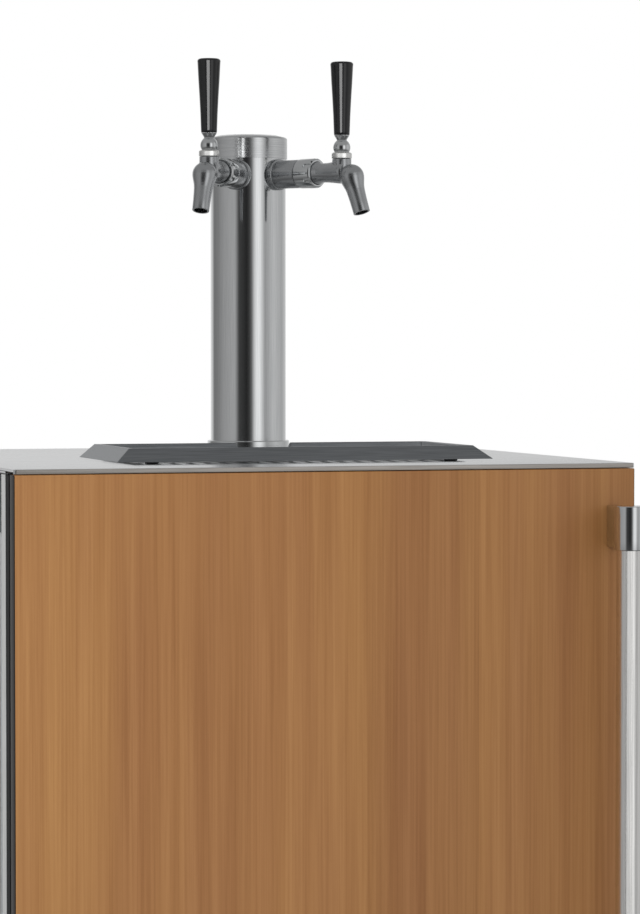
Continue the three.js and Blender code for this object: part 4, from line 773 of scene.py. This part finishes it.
# Gas and beer fittings inside: an aluminium cylinder with a brass valve and black handwheel, and
# the brass regulator that screws onto it, with a knob, two outlets and two gauges. The forms are
# turned as the real ones are.
BOTTLE_X = -190.0
BOTTLE_Y = 180.0
SHELF = 330.3
VALVE_Z = 660.8
VALVE_TOP = 678.8
WHEEL_TOP = 694.5
bottle_aluminium = brushed_steel(
    "spun_aluminium_cylinder", "c9ccce", "b9bcbe", 0.36, (60, 60, 1), metallic=0.8,
)
brass = polished_metal("turned_brass", "b8954f", 0.22)
bottle = turned(
    [(0, SHELF), (48, SHELF)] + arc(48, SHELF + 6, 6, -90, 0, 6) + arc(14, 586.8, 40, 0, 75, 18)
    + [(17, 628), (16, 632), (16, 638.8), (0, 638.8)],
    (BOTTLE_X, BOTTLE_Y, 0), steps=128,
)
add_piece("gas_bottle", bottle, bottle_aluminium, "cabinet", "aluminium", "gas_cylinder", sharp=50.0)
valve = joined(
    turned(
        [(0, 634), (13, 638), (13, 645), (11.5, 647), (11.5, 671), (13, 673), (13, VALVE_TOP),
         (4, VALVE_TOP), (4, WHEEL_TOP), (0, WHEEL_TOP)],
        (BOTTLE_X, BOTTLE_Y, 0), steps=64, edge=0.4,
    ),
    rod(10, (BOTTLE_X, BOTTLE_Y, VALVE_Z), (BOTTLE_X + 28, BOTTLE_Y, VALVE_Z), 48, 0.5),
)
add_piece("bottle_valve", valve, brass, "cabinet", "brass")

wheel_low = VALVE_TOP + FIT
wheel = turned(
    [(4.3, wheel_low), (20, wheel_low), (20, WHEEL_TOP - 2), (18, WHEEL_TOP), (4.3, WHEEL_TOP),
     (4.3, wheel_low)],
    (BOTTLE_X, BOTTLE_Y, 0), steps=96, edge=0.5,
)
WHEEL_GRIPS = 8
grips = []
for i in range(WHEEL_GRIPS):
    turn = 2 * math.pi * i / WHEEL_GRIPS
    x, y = BOTTLE_X + 20.4 * math.cos(turn), BOTTLE_Y + 20.4 * math.sin(turn)
    grips.append(rod(2.6, (x, y, wheel_low - 2), (x, y, WHEEL_TOP + 2), 24))
add_piece(
    "valve_wheel", combined(wheel, joined(*grips)), black_moulded,
    "handwheel", "black_moulded", "valve_handwheel",
)

REGULATOR_X = -114.0
GAUGE_RISE = 58.0
GAS_OUT = 10.0
BARB_LOW = 612.8
UNION_X = -161.5
centre = Vector((REGULATOR_X, BOTTLE_Y, VALVE_Z))
gauge_places = centre + Vector((GAUGE_RISE, 0, 0)), centre + Vector((0, 0, GAUGE_RISE))
castings = [
    turned(
        [(0, -18), (22, -18), (25, -15), (25, 4), (24, 6), (24, 10), (21, 18), (5, 18), (5, 35.8),
         (0, 35.8)],
        centre, FORWARD, 96, 0.4,
    ),
    rod(15, (UNION_X, BOTTLE_Y, VALVE_Z), (UNION_X + 20, BOTTLE_Y, VALVE_Z), 6, 0.3),
    rod(9, (UNION_X + 1, BOTTLE_Y, VALVE_Z), (UNION_X + 41, BOTTLE_Y, VALVE_Z), 48, 0.3),
]
barb = [
    (0, 0), (4, 0), (5, 3), (4.2, 3.2), (5, 7), (4.2, 7.2), (5, 11), (4.2, 11.2), (5, 16), (5, 40), (0, 40),
]
for side in (-GAS_OUT, GAS_OUT):
    castings.append(turned(barb, (REGULATOR_X + side, BOTTLE_Y, BARB_LOW), steps=32))
for place in gauge_places:
    run = (place - centre).normalized()
    castings.append(rod(6, centre, place - run * 20, 32))
    castings.append(turned(
        [(0, -11), (23, -11), (25, -9), (25, 9), (24, 11), (21.8, 11), (21.3, 8.4), (0, 8.4)],
        place, FORWARD, 96, 0.4,
    ))
add_piece("regulator_body", joined(*castings), brass, "cabinet", "brass", "regulator", sharp=45.0)

# The gauges' white dials, and their pointers and scale marks without figures
dials = [turned([(0, 8.5), (21, 8.5), (21, 9.0), (0, 9.0)], place, FORWARD, 96) for place in gauge_places]
add_piece("gauge_dials", joined(*dials), white_moulded, "cabinet", "white_moulded")
SCALE_MARKS = 11
SCALE_START = -135
SCALE_STEP = 27
POINTER = -60
strokes = [
    ((-0.45, -9.4, 15.5), (0.45, -8.9, 19.5), SCALE_START + SCALE_STEP * i) for i in range(SCALE_MARKS)
]
strokes.append(((-0.7, -10.0, -4), (0.7, -9.5, 14.5), POINTER))
marks = []
for place in gauge_places:
    for low, high, degrees in strokes:
        mark = block(low, high)
        swing = Matrix.Translation(place) @ Matrix.Rotation(math.radians(degrees), 4, "Y")
        bmesh.ops.transform(mark, matrix=swing, verts=mark.verts)
        marks.append(mark)
    marks.append(rod(2.2, place + Vector((0, -9, 0)), place + Vector((0, -10.4, 0)), 24))
add_piece("gauge_marks", joined(*marks), black_moulded, "cabinet", "black_moulded")

knob = turned(
    [(5.3, 18.3), (16, 18.3), (16, 41.3), (13, 44.3), (0, 44.3), (0, 36.1), (5.3, 36.1), (5.3, 18.3)],
    centre, FORWARD, 96, 0.5,
)
KNOB_RIBS = 10
ribs = []
for i in range(KNOB_RIBS):
    turn = 2 * math.pi * i / KNOB_RIBS
    rib_place = centre + Vector((16.4 * math.cos(turn), 0, 16.4 * math.sin(turn)))
    ribs.append(rod(2.3, rib_place + Vector((0, -16, 0)), rib_place + Vector((0, -48, 0)), 24))
add_piece(
    "regulator_grip", combined(knob, joined(*ribs)), black_moulded,
    "pressure_knob", "black_moulded", "regulator_knob",
)


# Two keg couplers are parked on the step: a chromed body on a wide lock, a hexagonal nut and
# spigot for the beer, a spigot at the side for the gas, and a black lever between two lugs.
COUPLERS = {"left": 10.3, "right": 139.3}
COUPLER_Y = 205.0
PIVOT = (175.0, 392.0)
GAS_IN = 376.0
INLET = 38.0
BEER_OUT = 442.0
for place, x in COUPLERS.items():
    body = turned(
        [(0, SHELF), (26.5, SHELF), (28, SHELF + 1.5), (28, 348), (26, 350.5), (19, 359), (19, 366),
         (17.5, 368), (17.5, 384), (19, 386), (19, 408), (5, 408), (5, BEER_OUT), (0, BEER_OUT)],
        (x, COUPLER_Y, 0), steps=96, edge=0.4,
    )
    nut = turned(
        [(0, 407), (12.5, 407), (13, 408), (13, 423), (12, 424), (0, 424)], (x, COUPLER_Y, 0), steps=6,
    )
    inlet = rod(7, (x, COUPLER_Y, GAS_IN), (x - INLET, COUPLER_Y, GAS_IN), 48, 0.4)
    lugs = [
        block((x + low, PIVOT[0] - 8, PIVOT[1] - 8), (x + low + 4, COUPLER_Y, PIVOT[1] + 8), 1.0)
        for low in (-9.3, 5.3)
    ]
    pin = rod(3, (x - 9.3, *PIVOT), (x + 9.3, *PIVOT), 32, 0.3)
    add_piece(
        f"coupler_body_{place}", joined(body, nut, inlet, *lugs, pin), chrome, "cabinet", "chrome",
        f"keg_coupler_{place}", sharp=45.0,
    )
    hub = combined(
        rod(7, (x - 5, *PIVOT), (x + 5, *PIVOT), 48, 0.5), rod(3.3, (x - 9, *PIVOT), (x + 9, *PIVOT), 32),
    )
    arm = block((x - 5, PIVOT[0] - 4, PIVOT[1] + 5.5), (x + 5, PIVOT[0] + 4, PIVOT[1] + 36), 1.0)
    grip = turned(
        [(0, 34), (6, 34), (7.2, 36), (8, 41), (7.4, 56), (8, 78), (7, 84), (5, 87), (0, 88)],
        (x, *PIVOT), steps=64, edge=0.6,
    )
    add_piece(
        f"coupler_grip_{place}", joined(hub, arm, grip), black_moulded, f"coupler_lever_{place}",
        "black_moulded", f"coupler_handle_{place}", sharp=45.0,
    )


# Clear hose carries the beer from each coupler up through the ceiling and the tower to a shank,
# and red hose brings it the gas. Each is one bar along a smooth line, and steel clips crimp it
# at the coupler and at the regulator.
def hose_plastic(name, colour, dark, gloss):
    """Flexible vinyl hose, smooth, with soft waves 9 mm long in its surface."""
    material, shader = new_material(name, {"IOR": 1.5})
    tree = material.node_tree
    waves = stretched_noise(tree, 9.0, (1, 1, 1))
    tree.links.new(mixed_colours(tree, waves, dark, colour), shader.inputs["Base Color"])
    tree.links.new(ranged(tree, waves, gloss, gloss + 0.12), shader.inputs["Roughness"])
    return material


def smooth_line(points, steps=12):
    """Points along a smooth line through the points given, `steps` to each stretch. The line
    swings less where the points are close together."""
    ends = [points[0] * 2 - points[1]] + points + [points[-1] * 2 - points[-2]]
    line = []
    for before, start, stop, after in zip(ends, ends[1:], ends[2:], ends[3:]):
        first, middle, last = (
            math.sqrt((b - a).length) for a, b in ((before, start), (start, stop), (stop, after))
        )
        leaving = (start - before) / first - (stop - before) / (first + middle) + (stop - start) / middle
        arriving = (stop - start) / middle - (after - start) / (middle + last) + (after - stop) / last
        for i in range(steps):
            t = i / steps
            line.append(
                start * (2 * t ** 3 - 3 * t ** 2 + 1) + leaving * middle * (t ** 3 - 2 * t ** 2 + t)
                + stop * (3 * t ** 2 - 2 * t ** 3) + arriving * middle * (t ** 3 - t ** 2)
            )
    return line + [points[-1]]


def pipe(points, radius, sides=32):
    """A closed round bar along a smooth line through the points."""
    places = smooth_line([Vector(point) for point in points])
    shape = bmesh.new()
    rings = []
    side = Vector((1, 0.3, 0))
    for i, place in enumerate(places):
        run = (places[min(i + 1, len(places) - 1)] - places[max(i - 1, 0)]).normalized()
        side = (side - run * side.dot(run)).normalized()
        rings.append([
            shape.verts.new(place + radius * (side * math.cos(turn) + run.cross(side) * math.sin(turn)))
            for turn in (2 * math.pi * k / sides for k in range(sides))
        ])
    for ring, after in zip(rings, rings[1:]):
        for k in range(sides):
            shape.faces.new((ring[k], ring[k - 1], after[k - 1], after[k]))
    shape.faces.new(rings[0])
    shape.faces.new(rings[-1])
    bmesh.ops.recalc_face_normals(shape, faces=shape.faces)
    return shape


BEER_HOSE = 5.5
GAS_HOSE = 7.0
LANE_Y = 31.0
beer_hose = hose_plastic("clear_beer_hose", "deded4", "cfcfc4", 0.25)
gas_hose = hose_plastic("red_gas_hose", "9c2a22", "86211b", 0.3)
tap_height = COUNTER + TAP_Z
gas_start = BARB_LOW - FIT
for place, sign, bend in (
    ("left", -1, ((-6.0, 47, 768.5), (0.8, 109, 708.6), (8.6, 187, 601.6))),
    ("right", 1, ((14.9, 47, 768.5), (66.5, 109, 708.6), (126.1, 187, 601.6))),
):
    x = COUPLERS[place]
    route = [
        (sign * 12.6, 8.1, tap_height), (sign * 9.8, 12.3, tap_height), (sign * 7, 24, tap_height - 16),
        (sign * 7, LANE_Y, tap_height - 42), (sign * 7, LANE_Y, COUNTER), (sign * 7, LANE_Y, 804.5), *bend,
        (x, COUPLER_Y, 476), (x, COUPLER_Y, BEER_OUT + FIT),
    ]
    add_piece(
        f"beer_hose_{place}", pipe(route, BEER_HOSE), beer_hose, "cabinet", "beer_hose",
        f"beer_line_{place}", sharp=60.0,
    )
for place, out, bend in (
    ("left", -GAS_OUT, ((-121.1, 174, 518.1), (-101.9, 184, 437.6), (-69.1, 201, 388))),
    ("right", GAS_OUT, ((-82, 221, 525.2), (10.3, 243, 473.1), (63.9, 227, 414))),
):
    start_x = REGULATOR_X + out
    end_x = COUPLERS[place] - INLET - FIT
    route = [
        (start_x, BOTTLE_Y, gas_start), (start_x, BOTTLE_Y, gas_start - 21.7), *bend,
        (end_x - 17.7, COUPLER_Y, GAS_IN), (end_x, COUPLER_Y, GAS_IN),
    ]
    add_piece(
        f"gas_hose_{place}", pipe(route, GAS_HOSE), gas_hose, "cabinet", "gas_hose",
        f"gas_line_{place}", sharp=60.0,
    )
    clips = []
    for radius, spot, run in (
        (BEER_HOSE, (COUPLERS[place], COUPLER_Y, BEER_OUT + 6), (0, 0, 1)),
        (GAS_HOSE, (end_x - 6, COUPLER_Y, GAS_IN), (-1, 0, 0)),
        (GAS_HOSE, (start_x, BOTTLE_Y, gas_start - 6), (0, 0, -1)),
    ):
        inner, outer = radius - 0.5, radius + 0.8
        ring = [(inner, 0), (outer, 0), (outer, 6), (inner, 6), (inner, 0)]
        clips.append(turned(ring, spot, run, 48, 0.3))
    add_piece(f"hose_clips_{place}", joined(*clips), hinge_steel, "cabinet", "brushed_stainless")


# The studio: a plain pale floor, soft lamps, and a white surround that polished metal mirrors as
# a grey room with one dark gap and one bright window, so that round metal shows its form.
FLOOR_REACH = 20.0
FLOOR_LIFT = 0.38
ROOM_LEVEL = 0.78
floor_shape = bmesh.new()
bmesh.ops.create_grid(floor_shape, x_segments=1, y_segments=1, size=FLOOR_REACH)
floor_mesh = bpy.data.meshes.new("floor")
floor_shape.to_mesh(floor_mesh)
floor_shape.free()
floor = bpy.data.objects.new("floor", floor_mesh)
bpy.context.collection.objects.link(floor)
floor_paint, floor_shader = new_material("pale_floor", {
    "Roughness": 0.9, "Base Color": linear("ebebe9"), "Emission Color": (1, 1, 1, 1),
})
seen_directly = add_node(floor_paint.node_tree, "LightPath").outputs["Is Camera Ray"]
lift = ranged(floor_paint.node_tree, seen_directly, 0, FLOOR_LIFT)
floor_paint.node_tree.links.new(lift, floor_shader.inputs["Emission Strength"])
floor_mesh.materials.append(floor_paint)
floor.visible_glossy = False

world = bpy.data.worlds.new("studio")
bpy.context.scene.world = world
world.use_nodes = True
sky = world.node_tree
background = sky.nodes["Background"]
ray = add_node(sky, "LightPath")
direction = add_node(sky, "TexCoord")
parts = add_node(sky, "SeparateXYZ", {}, {"Vector": direction.outputs["Generated"]})
toward_front = add_node(sky, "Math", {"operation": "MULTIPLY"}, {0: parts.outputs["Y"], 1: -1.0})
angle = add_node(sky, "Math", {"operation": "ARCTAN2"}, {0: parts.outputs["X"], 1: toward_front.outputs[0]})
turn_share = add_node(sky, "MapRange", {}, {
    "Value": angle.outputs[0], "From Min": -math.pi, "From Max": math.pi,
})
room = add_node(sky, "ValToRGB", {}, {"Fac": turn_share.outputs["Result"]})
stops = (
    (-180, 0.85), (-160, 0.65), (-144, 0.2), (-120, 0.25), (-95, 0.36), (-57, 0.44), (-44, 0.06),
    (-20, 0.02), (-12, 0.05), (-5, 0.15), (6, 0.82), (12, 1.0), (20, 1.0), (37, 0.38), (68, 0.6),
    (110, 0.46), (163, 0.78), (180, 0.85),
)
ramp = room.color_ramp
while len(ramp.elements) < len(stops):
    ramp.elements.new(0.5)
for element, (degrees, level) in zip(ramp.elements, stops):
    element.position = (degrees + 180) / 360
    element.color = (level, level, level, 1)
glossy = room.outputs["Color"]
for near, far, level in ((0.3, 0.6, 0.34), (-0.2, -0.55, 0.12)):
    share = add_node(sky, "MapRange", {}, {"Value": parts.outputs["Z"], "From Min": near, "From Max": far})
    glossy = blended(sky, share.outputs["Result"], glossy, (level, level, level, 1))
mirrored = blended(sky, ray.outputs["Is Glossy Ray"], (ROOM_LEVEL, ROOM_LEVEL, ROOM_LEVEL, 1), glossy)
seen = blended(sky, ray.outputs["Is Camera Ray"], mirrored, (1, 1, 1, 1))
sky.links.new(seen, background.inputs["Color"])


def area_lamp(name, place, aim, size, watts):
    """A rectangular lamp at one point that faces another."""
    lamp = bpy.data.lights.new(name, "AREA")
    lamp.shape = "RECTANGLE"
    lamp.size, lamp.size_y = size
    lamp.energy = watts
    holder = bpy.data.objects.new(name, lamp)
    holder.location = place
    holder.rotation_euler = (Vector(aim) - Vector(place)).to_track_quat("-Z", "Y").to_euler()
    bpy.context.collection.objects.link(holder)
    return holder


MIDDLE = (0, 0, 0.7)
for lamp in (
    area_lamp("key_lamp", (-2.1, -2.0, 1.9), MIDDLE, (1.6, 1.6), 50),
    area_lamp("fill_lamp", (2.6, -2.2, 1.8), MIDDLE, (2.0, 2.0), 3),
):
    lamp.visible_glossy = False


# Soft strips in front, which the camera doesn't see, each light one thing: the first draws the
# pale line on the black tap handles, the second is what the pull handle's tube mirrors, the third
# keeps the bonnet rings bright, and the fourth draws the short bright mark on the tower's cap.
for name, place, aim, size, watts, pieces in (
    ("tap_handle_strip", (-0.62, -1.4, 1.2), (0, -0.05, 1.2), (0.8, 1.2), 16,
     ("handle_knob_left", "handle_knob_right")),
    ("pull_handle_strip", (-0.66, -2.63, 0.75), (0.28, -0.31, 0.6), (2.1, 2.4), 11, ("pull_tube",)),
    ("bonnet_strip", (-0.18, -0.72, 1.22), (0, -0.08, 1.16), (1.5, 0.6), 2.2,
     ("bonnet_ring_left", "bonnet_ring_right")),
    ("cap_strip", (-0.87, -1.2, 1.2), (0, 0.027, 1.18), (0.4, 0.6), 1.8, ("tower_cap_pressing",)),
):
    strip = area_lamp(name, place, aim, size, watts)
    strip.visible_camera = False
    lit = bpy.data.collections.new(name)
    for piece in pieces:
        lit.objects.link(bpy.data.objects[piece])
    strip.light_linking.receiver_collection = lit


# The camera stands a little left of the front, just above the height of the top, with a long
# lens, as in the photograph.
CAMERA_PLACE = (-0.9171, -3.2695, 0.9778)
CAMERA_TURN = math.radians(16.77)
CAMERA_DIP = math.radians(1.92)
LENS = 132.4
SENSOR = 36.0
view = bpy.data.cameras.new("camera")
view.lens = LENS
view.sensor_width = SENSOR
view.dof.use_dof = False
camera = bpy.data.objects.new("camera", view)
camera.location = CAMERA_PLACE
camera.rotation_euler = (math.pi / 2 - CAMERA_DIP, 0, -CAMERA_TURN)
bpy.context.collection.objects.link(camera)
bpy.context.scene.camera = camera
bpy.context.scene.view_settings.view_transform = "Standard"
